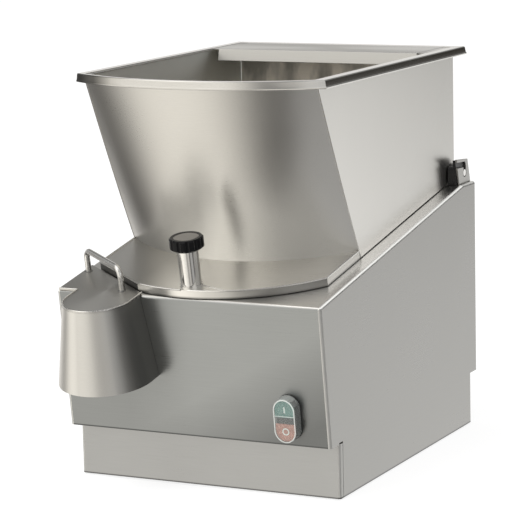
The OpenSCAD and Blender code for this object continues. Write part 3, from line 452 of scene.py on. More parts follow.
def moulded(name, colour, rough=(0.25, 0.36), scale=300.0, shine=0.5):
    """Plastic, rubber, paint or a casting, with a fine skin."""
    material, tree, shader = fresh_material(name)
    shader.inputs["Specular IOR Level"].default_value = shine
    skin = noise_at(tree, scale, 4.0)
    high = tuple(min(1.0, c * 1.12) for c in colour)
    tree.links.new(ramp_from(tree, skin, shade(colour, 0.85), high), shader.inputs["Base Color"])
    tree.links.new(range_from(tree, skin, *rough), shader.inputs["Roughness"])
    bump_from(tree, skin, shader, 0.08, 0.0002)
    return material


def dress(material, *names):
    """Give CAD nodes a material through their slots."""
    for name in names:
        for slot in NODES[name].material_slots:
            slot.material = material


def alone(piece):
    """Leave one object selected and active."""
    bpy.ops.object.select_all(action="DESELECT")
    piece.select_set(True)
    bpy.context.view_layer.objects.active = piece


def edit_all():
    """Open the active mesh with everything selected."""
    bpy.ops.object.mode_set(mode="EDIT")
    bpy.ops.mesh.select_mode(type="VERT")
    bpy.ops.mesh.select_all(action="SELECT")


def leave_edit():
    bpy.ops.object.mode_set(mode="OBJECT")


def begin(name, add, **shape):
    """Add a primitive with nothing else selected, and open it for shaping."""
    bpy.ops.object.select_all(action="DESELECT")
    add(**shape)
    piece = bpy.context.object
    piece.name = name
    edit_all()
    return piece


def raised(rise):
    """Extrude what is selected straight up."""
    bpy.ops.mesh.extrude_region_move(TRANSFORM_OT_translate={"value": (0.0, 0.0, rise)})


def block(name, extent, edge, at=ORIGIN):
    """Small block with softened edges; its extent is in millimetres."""
    piece = begin(name, bpy.ops.mesh.primitive_cube_add, size=0.001)
    bpy.ops.transform.resize(value=extent, center_override=ORIGIN)
    bpy.ops.mesh.bevel(offset=edge, segments=2, affect="EDGES")
    bpy.ops.transform.translate(value=at)
    leave_edit()
    return piece


def place(piece, origin, up, out):
    """Set a piece modelled round the origin in its place, and write the place into its mesh."""
    alone(piece)
    piece.matrix_world = Matrix.Translation(origin) @ axes_of(Vector(RIGHT), up, out)
    bpy.ops.object.transform_apply(location=True, rotation=True, scale=True)


def at_deck(x, reach, top):
    """Point over the sloping deck: to the right, up its slope from the front edge, off its face."""
    return Vector((x, *DECK_FRONT)) + reach * DECK_ALONG + top * DECK_OUT


def finish_piece(piece, material, body, slot, *nodes):
    """Smooth a piece, dress it, hang it on the body it rides on, and hide the CAD nodes it stands
    for.
    """
    alone(piece)
    bpy.ops.object.shade_smooth_by_angle(angle=math.radians(32.0))
    bpy.ops.object.modifier_add(type="WEIGHTED_NORMAL")
    piece.modifiers[-1].keep_sharp = True
    bpy.ops.object.modifier_apply(modifier=piece.modifiers[-1].name)
    if material:
        piece.data.materials.clear()
        piece.data.materials.append(material)
    if nodes:
        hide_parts(*nodes)
    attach(piece, body)


def pick(piece, kind, test):
    """Select what passes a test, and stay in edit mode.

    The test is given the place and normal of a vertex or face, or an edge's middle and direction.
    """
    if bpy.context.mode != "OBJECT":
        leave_edit()
    alone(piece)
    bpy.ops.object.mode_set(mode="EDIT")
    bpy.ops.mesh.select_mode(type=kind)
    bpy.ops.mesh.select_all(action="DESELECT")
    leave_edit()
    mesh = piece.data
    if kind == "FACE":
        for face in mesh.polygons:
            face.select = test(face.center, face.normal)
    elif kind == "EDGE":
        for edge in mesh.edges:
            first, last = (mesh.vertices[i].co for i in edge.vertices)
            edge.select = test((first + last) / 2, last - first)
    else:
        for vertex in mesh.vertices:
            vertex.select = test(vertex.co, vertex.normal)
    bpy.ops.object.mode_set(mode="EDIT")


def merged_copy(name, node):
    """Copy of a CAD node with its triangles joined into whole faces."""
    piece = bpy.data.objects.new(name, NODES[node].data.copy())
    bpy.context.scene.collection.objects.link(piece)
    alone(piece)
    edit_all()
    bpy.ops.mesh.customdata_custom_splitnormals_clear()
    bpy.ops.mesh.remove_doubles(threshold=0.00002)
    bpy.ops.mesh.dissolve_limited(angle_limit=math.radians(0.05))
    leave_edit()
    return piece


def round_edges(piece, width, segments=2, angle=35.0):
    """Round every edge sharper than an angle."""
    alone(piece)
    bpy.ops.object.modifier_add(type="BEVEL")
    bevel = piece.modifiers[-1]
    bevel.width = width
    bevel.segments = segments
    bevel.limit_method = "ANGLE"
    bevel.angle_limit = math.radians(angle)
    bpy.ops.object.modifier_apply(modifier=bevel.name)


def traced(name, points):
    """Filled outline, drawn from point to point by extruding."""
    piece = begin(name, bpy.ops.mesh.primitive_plane_add, size=0.01)
    bpy.ops.mesh.merge(type="CENTER")
    bpy.ops.transform.translate(value=points[0])
    for start, end in zip(points, points[1:]):
        step = Vector(end) - Vector(start)
        bpy.ops.mesh.extrude_vertices_move(TRANSFORM_OT_translate={"value": step})
    bpy.ops.mesh.select_all(action="SELECT")
    bpy.ops.mesh.edge_face_add()
    return piece


def cut_off(co, normal):
    """Cut the edited mesh by a plane, drop what lies ahead of it and close the cut."""
    bpy.ops.mesh.select_all(action="SELECT")
    bpy.ops.mesh.bisect(plane_co=co, plane_no=normal, use_fill=True, clear_outer=True)


def tidy_normals():
    """Merge the edited mesh's doubles, turn its faces outwards and leave it."""
    bpy.ops.mesh.select_all(action="SELECT")
    bpy.ops.mesh.remove_doubles(threshold=0.00001)
    bpy.ops.mesh.normals_make_consistent(inside=False)
    leave_edit()


def joined(name, pieces):
    bpy.ops.object.select_all(action="DESELECT")
    for piece in pieces:
        piece.select_set(True)
    bpy.context.view_layer.objects.active = pieces[0]
    bpy.ops.object.join()
    pieces[0].name = name
    return pieces[0]


def edge_bead(name, node, test, radius):
    """Slim bead along chosen edges of a CAD node."""
    bead = merged_copy(name, node)
    pick(bead, "EDGE", lambda middle, along: not test(middle, along))
    bpy.ops.mesh.delete(type="EDGE")
    bpy.ops.mesh.select_all(action="SELECT")
    bpy.ops.mesh.delete_loose(use_verts=True, use_edges=False, use_faces=False)
    leave_edit()
    if not bead.data.edges:
        raise RuntimeError(name + " found no edges")
    bpy.ops.object.convert(target="CURVE")
    bead.data.bevel_depth = radius
    bead.data.bevel_resolution = 2
    bpy.ops.object.convert(target="MESH")
    return bead


class CHIPPER_OT_sheet_steel(bpy.types.Operator):
    """Brush the base's panels and plinths, with painted highlights on the folds, painted shadow
    along the lower edges, and painted light and shade on the deck and front panel
    """

    bl_idname = "chipper.sheet_steel"
    bl_label = "Base panels"

    def execute(self, context):
        dull = tuple(finishes().body)
        front = tuple(finishes().panel)
        deck = tuple(finishes().deck)
        fold_highlight = tuple(finishes().fold_highlight)
        plinth = tuple(finishes().plinth)
        # corner: painted highlight down the rounded corner folds; dark: painted contact shadow
        # along the lowest edges
        corner, dark = shade(fold_highlight, 0.8), shade(plinth, 0.3)
        corner_rough = (0.62, 0.7)
        on_front, on_top = facing(PANEL_OUT, 0.75, 0.95), facing(DECK_OUT, 0.6, 0.9)
        # Mask of the lowest edges, darkened as painted contact shadow
        contact_shadow_edge = span(UP, *LOWEST)
        cover = satin_steel("cover_steel", dull, "X", tones=(
            # painted shade: the front panel darker than the rest
            (front, on_front),
            # painted light: the deck's top paler
            (deck, on_top),
            # painted highlight: a brighter strip on the deck at the right
            (shade(deck, 1.4), both(on_top, span(RIGHT, 0.1, 0.15))),
            # painted reflection: the panel darker at the left, where the chute shows in it
            (shade(front, 0.84), both(on_front, span(LEFT, 0.0, 0.1))),
            # painted shadow of the chute across the panel
            (shade(front, 0.52), both(on_front, span((0.5, 0.0, -0.87), -0.11, 0.0))),
            # painted shadow line along the panel's lower edge
            (shade(front, 0.3), both(on_front, span(UP, *PANEL_FOOT))),
        ))
        dress(cover, "housing")
        dress(satin_steel("rear_steel", plinth, "X"), "rear_plinth", "rear_panel")
        # Plinth: painted highlight on its rounded corners and painted contact shadow along its
        # lowest edge
        kick = satin_steel("plinth_steel", plinth, "X", first_rough=corner_rough, tones=(
            (corner, facing(RIGHT, 0.1, 0.35, either=True)),
            (dark, contact_shadow_edge),
        ))
        dress(kick, "front_plinth")
        # Side panels: painted highlights on the front corner fold and the top fold, painted contact
        # shadow along the lowest edge
        side = satin_steel("side_steel", shade(dull, 0.85), "Y", first_rough=corner_rough, tones=(
            (corner, facing(FRONT, 0.1, 0.35)),
            (fold_highlight, facing(UP, 0.1, 0.4)),
            (dark, contact_shadow_edge),
        ))
        dress(side, "left_side_panel", "right_side_panel")
        return {"FINISHED"}


# How far the rim's face leans in at its top, and its hem, down the face, round and back inside:
# shares of the rim's width and heights over its lowest edge
RIM_LEAN = 0.06
RIM_HEM = (
    (1.0, 0.0031), (1.04, 0.0025), (1.055, 0.0014), (1.04, 0.0003),
    (1.0, 0.0), (0.91, 0.0), (0.87, 0.0026),
)


def rim_profile():
    """The rim's section: share of its width and height below the top."""
    size = sizes()
    curl = size.rim_curl
    share = curl / (size.rim_side + size.sheet)
    points = [(0.0, 0.0)]
    for step in range(5):
        turn = math.radians(90.0 - 20.0 * step)
        out = 1.0 - RIM_LEAN - share + share * math.cos(turn)
        points.append((out, curl * (math.sin(turn) - 1.0)))
    points += [(out, rise - size.rim_drop) for out, rise in RIM_HEM]
    return points + [(0.8, -size.sheet), (0.0, -size.sheet)]


class CHIPPER_OT_rim(bpy.types.Operator):
    """Fold the hopper's rim from mitred rails, one half and its mirror image"""

    bl_idname = "chipper.rim"
    bl_label = "Hopper rim"

    def execute(self, context):
        size = sizes()
        section = rim_profile()
        top, thick = size.rim_top, size.sheet
        inner, outer = size.mouth_half - thick, size.mouth_half + size.rim_side
        rear_in, rear_out = size.mouth_rear - thick, size.mouth_rear + size.rim_rear
        near, far = size.arc_radius - thick, size.arc_radius + size.rim_front
        corner = Vector((inner, size.arc_centre - math.sqrt(near ** 2 - inner ** 2), 0.0))
        point = Vector((outer, size.arc_centre - math.sqrt(far ** 2 - outer ** 2), 0.0))
        mitre = (point - corner).cross(Vector(UP)).normalized()
        rear_corner = Vector((inner, rear_in, 0.0))
        rear_mitre = Vector((rear_out - rear_in, inner - outer, 0.0)).normalized()
        front = traced("rim_front", [
            (0.0, size.arc_centre - near - share * (far - near), top + drop)
            for share, drop in section
        ])
        bpy.ops.mesh.spin(
            steps=42, angle=math.radians(38.0), center=(0.0, size.arc_centre, 0.0),
            axis=(0.0, 0.0, -1.0),
        )
        cut_off(corner, -mitre)
        leave_edit()
        side = traced("rim_side", [
            (inner + share * (outer - inner), -0.25, top + drop) for share, drop in section
        ])
        bpy.ops.mesh.extrude_region_move(TRANSFORM_OT_translate={"value": (0.0, 0.6, 0.0)})
        cut_off(corner, mitre)
        cut_off(rear_corner, -rear_mitre)
        leave_edit()
        rear = traced("rim_rear", [
            (0.0, rear_in + share * (rear_out - rear_in), top + drop) for share, drop in section
        ])
        bpy.ops.mesh.extrude_region_move(TRANSFORM_OT_translate={"value": (0.25, 0.0, 0.0)})
        cut_off(rear_corner, rear_mitre)
        leave_edit()
        rim = joined("folded_rim", [front, side, rear])
        pick(rim, "FACE", lambda co, normal: abs(co.x) < 0.00001)
        bpy.ops.mesh.delete(type="FACE")
        tidy_normals()
        bpy.ops.object.modifier_add(type="MIRROR")
        rim.modifiers[-1].merge_threshold = 0.00002
        bpy.ops.object.modifier_apply(modifier=rim.modifiers[-1].name)
        bpy.ops.object.mode_set(mode="EDIT")
        tidy_normals()
        colour = tuple(finishes().steel)
        steel = satin_steel("rim_steel", colour, "X", (0.1, 0.15), spread=0.2, tones=(
            # painted shade: the front face darker towards its left end
            (shade(colour, 0.3), both(facing(FRONT, 0.5, 0.8), span(LEFT, 0.11, 0.145))),
        ))
        finish_piece(rim, steel, "hopper", "stainless", "hopper_rim")
        return {"FINISHED"}


def deck_height(co):
    return (co - Vector((0.0, *DECK_FRONT))).dot(DECK_OUT)


def deck_reach(co):
    return (co - Vector((0.0, *DECK_FRONT))).dot(DECK_ALONG)


def on_corner(middle, along):
    """Edges down the hopper's front corners."""
    size = sizes()
    upright = abs(along.z) > 0.7 * abs(along.y) and middle.z < size.rim_top - 0.004
    at_side = abs(abs(middle.x) - size.mouth_half) < ON_LINE
    return at_side and middle.y < size.arc_centre and upright


def on_mouth(middle, along):
    """Edges along the mouth's inner sides and down its rear inner corners."""
    size = sizes()
    if abs(abs(middle.x) - size.mouth_half + size.sheet) > ON_LINE:
        return False
    straight = 0.95 * along.length
    level = abs(along.y) > straight and middle.z > size.rim_top - 0.0025
    upright = abs(along.z) > straight and middle.y > size.mouth_rear - size.sheet - 0.0005
    return level or upright


def on_flange_rim(middle, along):
    """Edges round the flange's top, ahead of the hopper's foot and clear of the post."""
    if abs(deck_height(middle) - FLANGE_TOP) > ON_LINE:
        return False
    reach = deck_reach(middle)
    if math.hypot(middle.x, reach - POST_REACH) < POST_CLEAR:
        return False
    if abs(along.x) < 0.5 * along.length and abs(middle.x) < 0.15:
        return False
    bow = FOOT_RADIUS - math.sqrt(FOOT_RADIUS ** 2 - min(abs(middle.x), 0.2) ** 2)
    return reach < FOOT_REACH + bow - FOOT_GAP


def on_plate_front(middle, along):
    """Edges round the front of the chute's plate."""
    return abs(deck_height(middle) - PLATE_TOP) < ON_LINE and deck_reach(middle) < PLATE_NOSE


class CHIPPER_OT_hopper(bpy.types.Operator):
    """Brush the hopper and its flange, line their seams, and round the guard strip"""

    bl_idname = "chipper.hopper"
    bl_label = "Hopper"

    def execute(self, context):
        size = sizes()
        steel = tuple(finishes().steel)
        rear = tuple(finishes().rear_wall)
        inner = inward((0.0, size.arc_centre, size.rim_top - 0.1))
        above_flange = span(UP, 0.38, 0.4)
        rear_inner = both(both(inner, facing(FRONT, 0.8, 0.95)), above_flange)
        shell = satin_steel("hopper_steel", steel, "X", first_rough=(0.45, 0.55), tones=(
            # painted light: paler sheet on the inner faces
            (tuple(finishes().inside), inner),
            # painted shade: warm tone on the rear wall's inner face under the guard
            (rear, rear_inner),
            # painted shade: darker cloudy patches on that face
            (shade(rear, 0.48), both(rear_inner, patches((38.0, 38.0, 16.0), -0.3, 1.3))),
            # painted reflection: the right wall paler towards the front
            (shade(steel, 1.22), both(facing(RIGHT, 0.9, 0.98), span(REAR, 0.24, -0.12))),
        ))
        dress(shell, "hopper_shell")
        bead = bright_steel("seam_steel", tuple(finishes().polished), (0.18, 0.26))
        seams = edge_bead("corner_seams", "hopper_shell", on_corner, size.seam)
        finish_piece(seams, bead, "hopper", "stainless")
        mouth = edge_bead("mouth_seams", "hopper_shell", on_mouth, 1.7 * size.seam)
        finish_piece(mouth, bead, "hopper", "stainless")
        guard = merged_copy("guard_strip", "rear_guard")
        lowest = min(vertex.co.z for vertex in guard.data.vertices)
        pick(guard, "VERT", lambda co, normal: co.z < lowest + 0.0005)
        bpy.ops.transform.translate(value=(0.0, -0.004, -0.003))
        leave_edit()
        round_edges(guard, 0.0012, 3)
        ear_x, ear_y, ear_z = size.mouth_half - 0.0086, 0.2365, size.rim_top - 0.0012
        ears = [
            block("guard_ear", (12.8, 92.0, 1.6), 0.0003, (side * ear_x, ear_y, ear_z))
            for side in (1.0, -1.0)
        ]
        strip = satin_steel("guard_steel", shade(steel, 0.82), "X", tones=(
            # painted shade: the front face darker
            (shade(steel, 0.68), facing(FRONT, 0.6, 0.9)),
        ))
        guard = joined("guard_strip", [guard, *ears])
        finish_piece(guard, strip, "hopper", "stainless", "rear_guard")
        pale = tuple(finishes().flange)
        deck = Vector((0.0, *DECK_FRONT)).dot(DECK_OUT)
        on_top, on_skirt = facing(DECK_OUT, 0.8, 0.95), facing(FRONT, 0.45, 0.7)
        flange = satin_steel("flange_steel", steel, "X", tones=(
            # painted light: the top paler
            (pale, on_top),
            # painted shade: the top darker at the left
            (shade(pale, 0.64), both(on_top, span(LEFT, 0.02, 0.08))),
            # painted highlight: the skirt brighter at the left
            (shade(steel, 1.3), both(on_skirt, span(LEFT, -0.03, 0.01))),
            # painted shade: the skirt darker at the right
            (shade(steel, 0.5), both(on_skirt, span(RIGHT, 0.06, 0.11))),
            # painted shadow on the left edge
            (shade(steel, 0.25), facing(LEFT, 0.46, 0.56)),
            # painted shadow: a dark band just above the deck
            (shade(steel, 0.3), span(DECK_OUT, deck + 0.004, deck + 0.001)),
        ))
        dress(flange, "hopper_flange")
        lip = edge_bead("flange_lip", "hopper_flange", on_flange_rim, 1.6 * size.seam)
        finish_piece(lip, bead, "hopper", "stainless")
        return {"FINISHED"}


class CHIPPER_OT_chute(bpy.types.Operator):
    """Brush the chute, line its plate's edge and weld the handle on"""

    bl_idname = "chipper.chute"
    bl_label = "Chute"

    def execute(self, context):
        seam = sizes().seam
        colour = tuple(finishes().steel)
        polished = tuple(finishes().polished)
        steel = satin_steel("chute_steel", colour, "X", (0.4, 0.48), tones=(
            # painted shade: the plate's top darker
            (shade(colour, 0.76), facing(DECK_OUT, 0.8, 0.95)),
            # painted highlight: faces turned to the front left brighter
            (shade(colour, 1.4), facing(toward(-38.0, 0.0), 0.86, 0.96)),
            # painted shade: the right side darker
            (shade(colour, 0.5), facing(RIGHT, 0.6, 0.9)),
        ))
        skin = merged_copy("chute_skin", "chute")
        finish_piece(skin, steel, "cassette", "stainless", "chute")
        line = bright_steel("plate_edge_steel", polished, (0.22, 0.3))
        edge = edge_bead("plate_edge", "chute", on_plate_front, 1.5 * seam)
        alone(edge)
        edit_all()
        bpy.ops.transform.translate(value=(0.0, 1.6 * seam, 0.6 * seam))
        leave_edit()
        finish_piece(edge, line, "cassette", "stainless")
        dress(bright_steel("handle_steel", polished, (0.2, 0.28)), "handle")
        bead = begin(
            "handle_welds", bpy.ops.mesh.primitive_torus_add, major_radius=0.0044,
            minor_radius=sizes().weld, major_segments=36, minor_segments=10,
        )
        bpy.ops.transform.resize(value=(1.0, 1.0, 0.7), center_override=ORIGIN)
        bpy.ops.transform.vertex_random(offset=0.00018, seed=4)
        leave_edit()
        bpy.ops.object.duplicate()
        beads = [bead, context.object]
        for ring, (x, reach) in zip(beads, HANDLE_FEET):
            place(ring, at_deck(x, reach, 0.0026), DECK_ALONG, DECK_OUT)
        weld = bright_steel("weld_steel", shade(polished, 0.35), (0.35, 0.45))
        finish_piece(joined("handle_welds", beads), weld, "cassette", "polished_steel")
        return {"FINISHED"}


class CHIPPER_OT_lock(bpy.types.Operator):
    """Polish the lock post and dress the knob"""

    bl_idname = "chipper.lock"
    bl_label = "Lock"

    def execute(self, context):
        post = bright_steel("post_steel", tuple(finishes().polished), (0.06, 0.12))
        dress(post, "lock_post", "lock_spindle")
        knob = merged_copy("knob_body", "lock_knob")
        round_edges(knob, 0.0009, 3, 30.0)
        black = moulded("knob_black", tuple(finishes().black), (0.06, 0.1), shine=0.09)
        finish_piece(knob, black, "lock", "black_plastic", "lock_knob")
        disc = begin(
            "knob_insert", bpy.ops.mesh.primitive_cylinder_add,
            vertices=72, radius=0.01685, depth=0.0014,
        )
        pick(disc, "FACE", lambda co, normal: normal.z > 0.9)
        for step, rise in ((0.0011, -0.0004), (0.0006, 0.0004)):
            bpy.ops.mesh.inset(thickness=step)
            raised(rise)
        bpy.ops.mesh.inset(thickness=0.006)
        bpy.ops.transform.translate(value=(0.0, 0.0, 0.0003))
        leave_edit()
        round_edges(disc, 0.00015)
        place(disc, at_deck(0.0, POST_REACH, INSERT_TOP), DECK_ALONG, DECK_OUT)
        grey = moulded("insert_grey", tuple(finishes().insert), (0.3, 0.42))
        finish_piece(disc, grey, "lock", "grey_plastic", "knob_cap")
        for piece in (knob, disc):
            piece.visible_glossy = False
        return {"FINISHED"}


class CHIPPER_OT_hinge(bpy.types.Operator):
    """Round the hinge brackets and blocks"""

    bl_idname = "chipper.hinge"
    bl_label = "Hinges"

    def execute(self, context):
        brackets = merged_copy("bracket_plates", "hinge_brackets")
        round_edges(brackets, 0.0005)
        steel = satin_steel("bracket_steel", tuple(finishes().body), "Z")
        finish_piece(brackets, steel, "base", "plain_steel", "hinge_brackets")
        blocks = merged_copy("pivot_blocks", "hinge_blocks")
        round_edges(blocks, 0.0007, angle=50.0)
        black = moulded("block_black", tuple(finishes().black), (0.3, 0.42))
        finish_piece(blocks, black, "base", "black_plastic", "hinge_blocks")
        dress(bright_steel("pin_steel", tuple(finishes().polished)), "hinge_pins")
        return {"FINISHED"}


# The boot over the panel: where its wall starts, how it rises and draws in at each step, and where
# its front and its bead begin
BOOT_FOOT = 0.0031
BOOT_STEPS = ((0.0112, 0.0006), (0.0018, 0.0004), (0.0010, 0.0007), (0.0004, 0.0008))
BOOT_FACE, BOOT_BEAD = 0.0169, 0.01702


def boot_material(name, colour, cover, rough):
    """Milky silicone that veils what lies behind it."""
    material, tree, shader = fresh_material(name)
    skin = noise_at(tree, 260.0, 3.0)
    tone = ramp_from(tree, skin, shade(colour, 0.93), colour)
    tree.links.new(tone, shader.inputs["Base Color"])
    tree.links.new(range_from(tree, skin, *rough), shader.inputs["Roughness"])
    shader.inputs["Alpha"].default_value = cover
    return material


def boot_wall(size):
    """Thin rounded cap, open behind, with a bead round its front."""
    half, whole = size.boot_radius, size.boot_radius + size.boot_half
    boot = begin(
        "clear_boot", bpy.ops.mesh.primitive_circle_add,
        vertices=64, radius=half, fill_type="NGON",
    )
    bpy.ops.transform.rotate(value=math.pi / 64, orient_axis="Z", center_override=ORIGIN)
    for side in (1.0, -1.0):
        pick(boot, "VERT", lambda co, normal: co.y * side > 0.0)
        bpy.ops.transform.translate(value=(0.0, side * size.boot_half, 0.0))
    bpy.ops.mesh.select_all(action="SELECT")
    bpy.ops.transform.translate(value=(0.0, 0.0, BOOT_FOOT))
    for rise, thin in BOOT_STEPS:
        raised(rise)
        share = ((half - thin) / half, (whole - thin) / whole, 1.0)
        bpy.ops.transform.resize(value=share, center_override=ORIGIN)
    bpy.ops.mesh.inset(thickness=0.0007)
    raised(-0.0006)
    pick(boot, "FACE", lambda co, normal: co.z < BOOT_FOOT + 0.0004)
    bpy.ops.mesh.delete(type="FACE")
    bpy.ops.mesh.select_all(action="SELECT")
    bpy.ops.mesh.normals_make_consistent(inside=False)
    leave_edit()
    bpy.ops.object.modifier_add(type="SOLIDIFY")
    boot.modifiers[-1].thickness = 0.0009
    boot.modifiers[-1].offset = -1.0
    bpy.ops.object.modifier_apply(modifier=boot.modifiers[-1].name)
    return boot


class CHIPPER_OT_switch(bpy.types.Operator):
    """Mould the clear boot, round the buttons and set their marks"""

    bl_idname = "chipper.switch"
    bl_label = "Push buttons"

    def execute(self, context):
        size = sizes()
        boot = boot_wall(size)
        milk = tuple(finishes().boot)
        clear = (0.16, 0.24)
        for name, colour, cover, rough, test in (
            ("boot_clear", milk, 0.12, clear, lambda co, normal: True),
            # painted light: the boot's upward faces more opaque and paler, most on the crown
            ("boot_shoulder", milk, 0.24, clear,
             lambda co, normal: normal.y > 0.45 and co.z < BOOT_FACE),
            ("boot_crown", milk, 0.45, clear,
             lambda co, normal: normal.y > 0.75 and co.z < BOOT_FACE),
            ("boot_bead", (0.72, 0.74, 0.71), 0.7, (0.25, 0.35),
             lambda co, normal: co.z > BOOT_BEAD),
        ):
            boot.data.materials.append(boot_material(name, colour, cover, rough))
            pick(boot, "FACE", test)
            boot.active_material_index = len(boot.data.materials) - 1
            bpy.ops.object.material_slot_assign()
            leave_edit()
        width = 2000.0 * size.boot_radius - 5.6
        rib = block("boot_rib", (width, 0.7, 0.4), 0.00012, (0.0, 0.0066, 0.01705))
        rib.data.materials.append(boot.data.materials[-1])
        boot = joined("clear_boot", [boot, rib])
        place(boot, SWITCH_AT, PANEL_UP, PANEL_OUT)
        finish_piece(boot, None, "base", "clear_boot", "switch_boot")
        dress(moulded("collar_black", (0.02, 0.021, 0.021), (0.3, 0.4)), "switch_collar")
        for body, name, colour, slot in (
            ("start_button", "start_head", finishes().green, "green_plastic"),
            ("stop_button", "stop_head", finishes().red, "red_plastic"),
        ):
            head = merged_copy(name, body)
            round_edges(head, 0.0005, angle=50.0)
            plastic = moulded(body + "_plastic", tuple(colour), (0.2, 0.3))
            finish_piece(head, plastic, body, slot, body)
        pale = moulded("mark_white", (0.62, 0.66, 0.62), (0.35, 0.45))
        bar = block("start_mark", (1.7, 8.5, 0.25), 0.0001)
        place(bar, SWITCH_AT + 0.015 * PANEL_UP + 0.01512 * PANEL_OUT, PANEL_UP, PANEL_OUT)
        finish_piece(bar, pale, "start_button", "green_plastic")
        ring = begin(
            "stop_mark", bpy.ops.mesh.primitive_torus_add, major_radius=0.0042,
            minor_radius=0.00085, major_segments=48, minor_segments=10,
        )
        bpy.ops.transform.resize(value=(1.0, 1.0, 0.3), center_override=ORIGIN)
        leave_edit()
        place(ring, SWITCH_AT - 0.015 * PANEL_UP + 0.01505 * PANEL_OUT, PANEL_UP, PANEL_OUT)
        finish_piece(ring, pale, "stop_button", "red_plastic")
        return {"FINISHED"}


class CHIPPER_OT_fittings(bpy.types.Operator):
    """Dress the feet, gland, screws, rotor, knives and drive"""

    bl_idname = "chipper.fittings"
    bl_label = "Fittings"

    def execute(self, context):
        bright = bright_steel("polished_steel", tuple(finishes().polished))
        dress(
            bright, "knife_frame", "upright_blades", "level_blades", "rotor_disc", "rotor_nut",
            "rotor_shaft", "motor_shaft", "rotor_bearings", "rear_panel_screws", "bearing_bolts",
            "motor_bolts",
        )
        plain = satin_steel("plain_steel", shade(finishes().steel, 0.8), "X", (0.35, 0.45))
        dress(plain, "base_plate", "lock_keeper", "motor_bracket")
        cast = moulded("cast_aluminium", tuple(finishes().casting), (0.4, 0.55), 150.0)
        dress(
            cast, "chamber", "bearing_housing", "motor_end_caps", "rotor_pulley", "motor_pulley",
            "motor_core",
        )
        dress(moulded("motor_paint", (0.09, 0.11, 0.14), (0.4, 0.55), 150.0), "motor_case")
        dress(moulded("winding", (0.4, 0.17, 0.06), (0.3, 0.45), 500.0), "motor_stator")
        black = moulded("black_rubber", tuple(finishes().black), (0.5, 0.65))
        dress(black, "contact_block", "cable_gland", "rubber_feet", "drive_belt", "shaft_seal")
        dress(moulded("box_grey", (0.2, 0.195, 0.185)), "control_box")
        return {"FINISHED"}


ROOM_LOW = (0.115, 0.11, 0.104)
ROOM_HIGH = (0.46, 0.46, 0.455)
ROOM_GLOWS = (
    # azimuth, elevation, inner and outer spread in degrees, colour, strength
    (-38.0, -10.0, 30.0, 60.0, (1.0, 0.97, 0.91), 1.08),
    (-48.0, -48.0, 12.0, 34.0, (1.0, 0.95, 0.85), 0.38),
    (28.0, -14.0, 8.0, 22.0, (1.0, 0.97, 0.92), 0.85),
    (52.0, 12.0, 12.0, 26.0, (1.0, 1.0, 1.0), 0.6),
    (58.0, -52.0, 8.0, 24.0, (1.0, 1.0, 1.0), 0.5),
    (66.0, -29.0, 6.0, 18.0, (1.0, 1.0, 1.0), 0.4),
    (-118.0, -8.0, 8.0, 24.0, (1.0, 0.98, 0.95), 0.55),
    (155.0, -32.0, 24.0, 34.0, (1.0, 1.0, 0.99), 1.12),
    (-75.0, 12.0, 8.0, 18.0, (1.0, 1.0, 1.0), -0.4),
    (-150.0, -3.0, 20.0, 40.0, (1.0, 0.98, 0.95), 0.6),
    (-146.0, 35.0, 12.0, 32.0, (1.0, 1.0, 1.0), -0.32),
    (162.0, 12.0, 10.0, 24.0, (1.0, 1.0, 1.0), -0.19),
    (146.0, 40.0, 10.0, 24.0, (1.0, 1.0, 1.0), 1.1),
    (-40.0, 48.0, 14.0, 32.0, (1.0, 0.99, 0.96), 0.9),
    (0.0, 85.0, 20.0, 50.0, (1.0, 1.0, 1.0), 0.6),
)
LAMPS = (
    # name, place, width, power
    ("key_lamp", toward(-35.0, 55.0) * 3.2, 1.6, 45.0),
    ("fill_lamp", toward(70.0, 40.0) * 3.5, 1.8, 25.0),
)


def room_light(scene):
    """Soft room: dark low down and grey above, with wide pale and dark places by direction."""
    world = bpy.data.worlds.new("soft_room")
    scene.world = world
    tree = bare_tree(world)
    ray = coords_of(tree, "Generated")
    rise = carried(tree, along_of(tree, ray, UP), -0.12, 0.3, interpolation="SMOOTHSTEP")
    total = ramp_from(tree, rise, ROOM_LOW, ROOM_HIGH, 0.0, 1.0)
    for azimuth, elevation, inner, outer, colour, strength in ROOM_GLOWS:
        fade = carried(
            tree, along_of(tree, ray, toward(azimuth, elevation)),
            math.cos(math.radians(outer)), math.cos(math.radians(inner)),
            interpolation="SMOOTHSTEP",
        )
        tint = tree.nodes.new("ShaderNodeVectorMath")
        tint.operation = "MULTIPLY_ADD"
        tint.inputs[1].default_value = shade(colour, strength)
        tree.links.new(fade, tint.inputs[0])
        tree.links.new(total, tint.inputs[2])
        total = tint.outputs["Vector"]
    background = tree.nodes.new("ShaderNodeBackground")
    output = tree.nodes.new("ShaderNodeOutputWorld")
    tree.links.new(total, background.inputs["Color"])
    tree.links.new(background.outputs["Background"], output.inputs["Surface"])


def stage_material(name, strength, matt=None):
    """Even white glow, with a matt grey added where one is given."""
    material = bpy.data.materials.new(name)
    tree = bare_tree(material)
    glow = tree.nodes.new("ShaderNodeEmission")
    glow.inputs["Strength"].default_value = strength
    surface = glow.outputs["Emission"]
    if matt:
        grey = tree.nodes.new("ShaderNodeBsdfDiffuse")
        grey.inputs["Color"].default_value = (matt, matt, matt, 1.0)
        total = tree.nodes.new("ShaderNodeAddShader")
        tree.links.new(grey.outputs["BSDF"], total.inputs[0])
        tree.links.new(surface, total.inputs[1])
        surface = total.outputs["Shader"]
    output = tree.nodes.new("ShaderNodeOutputMaterial")
    tree.links.new(surface, output.inputs["Surface"])
    return material


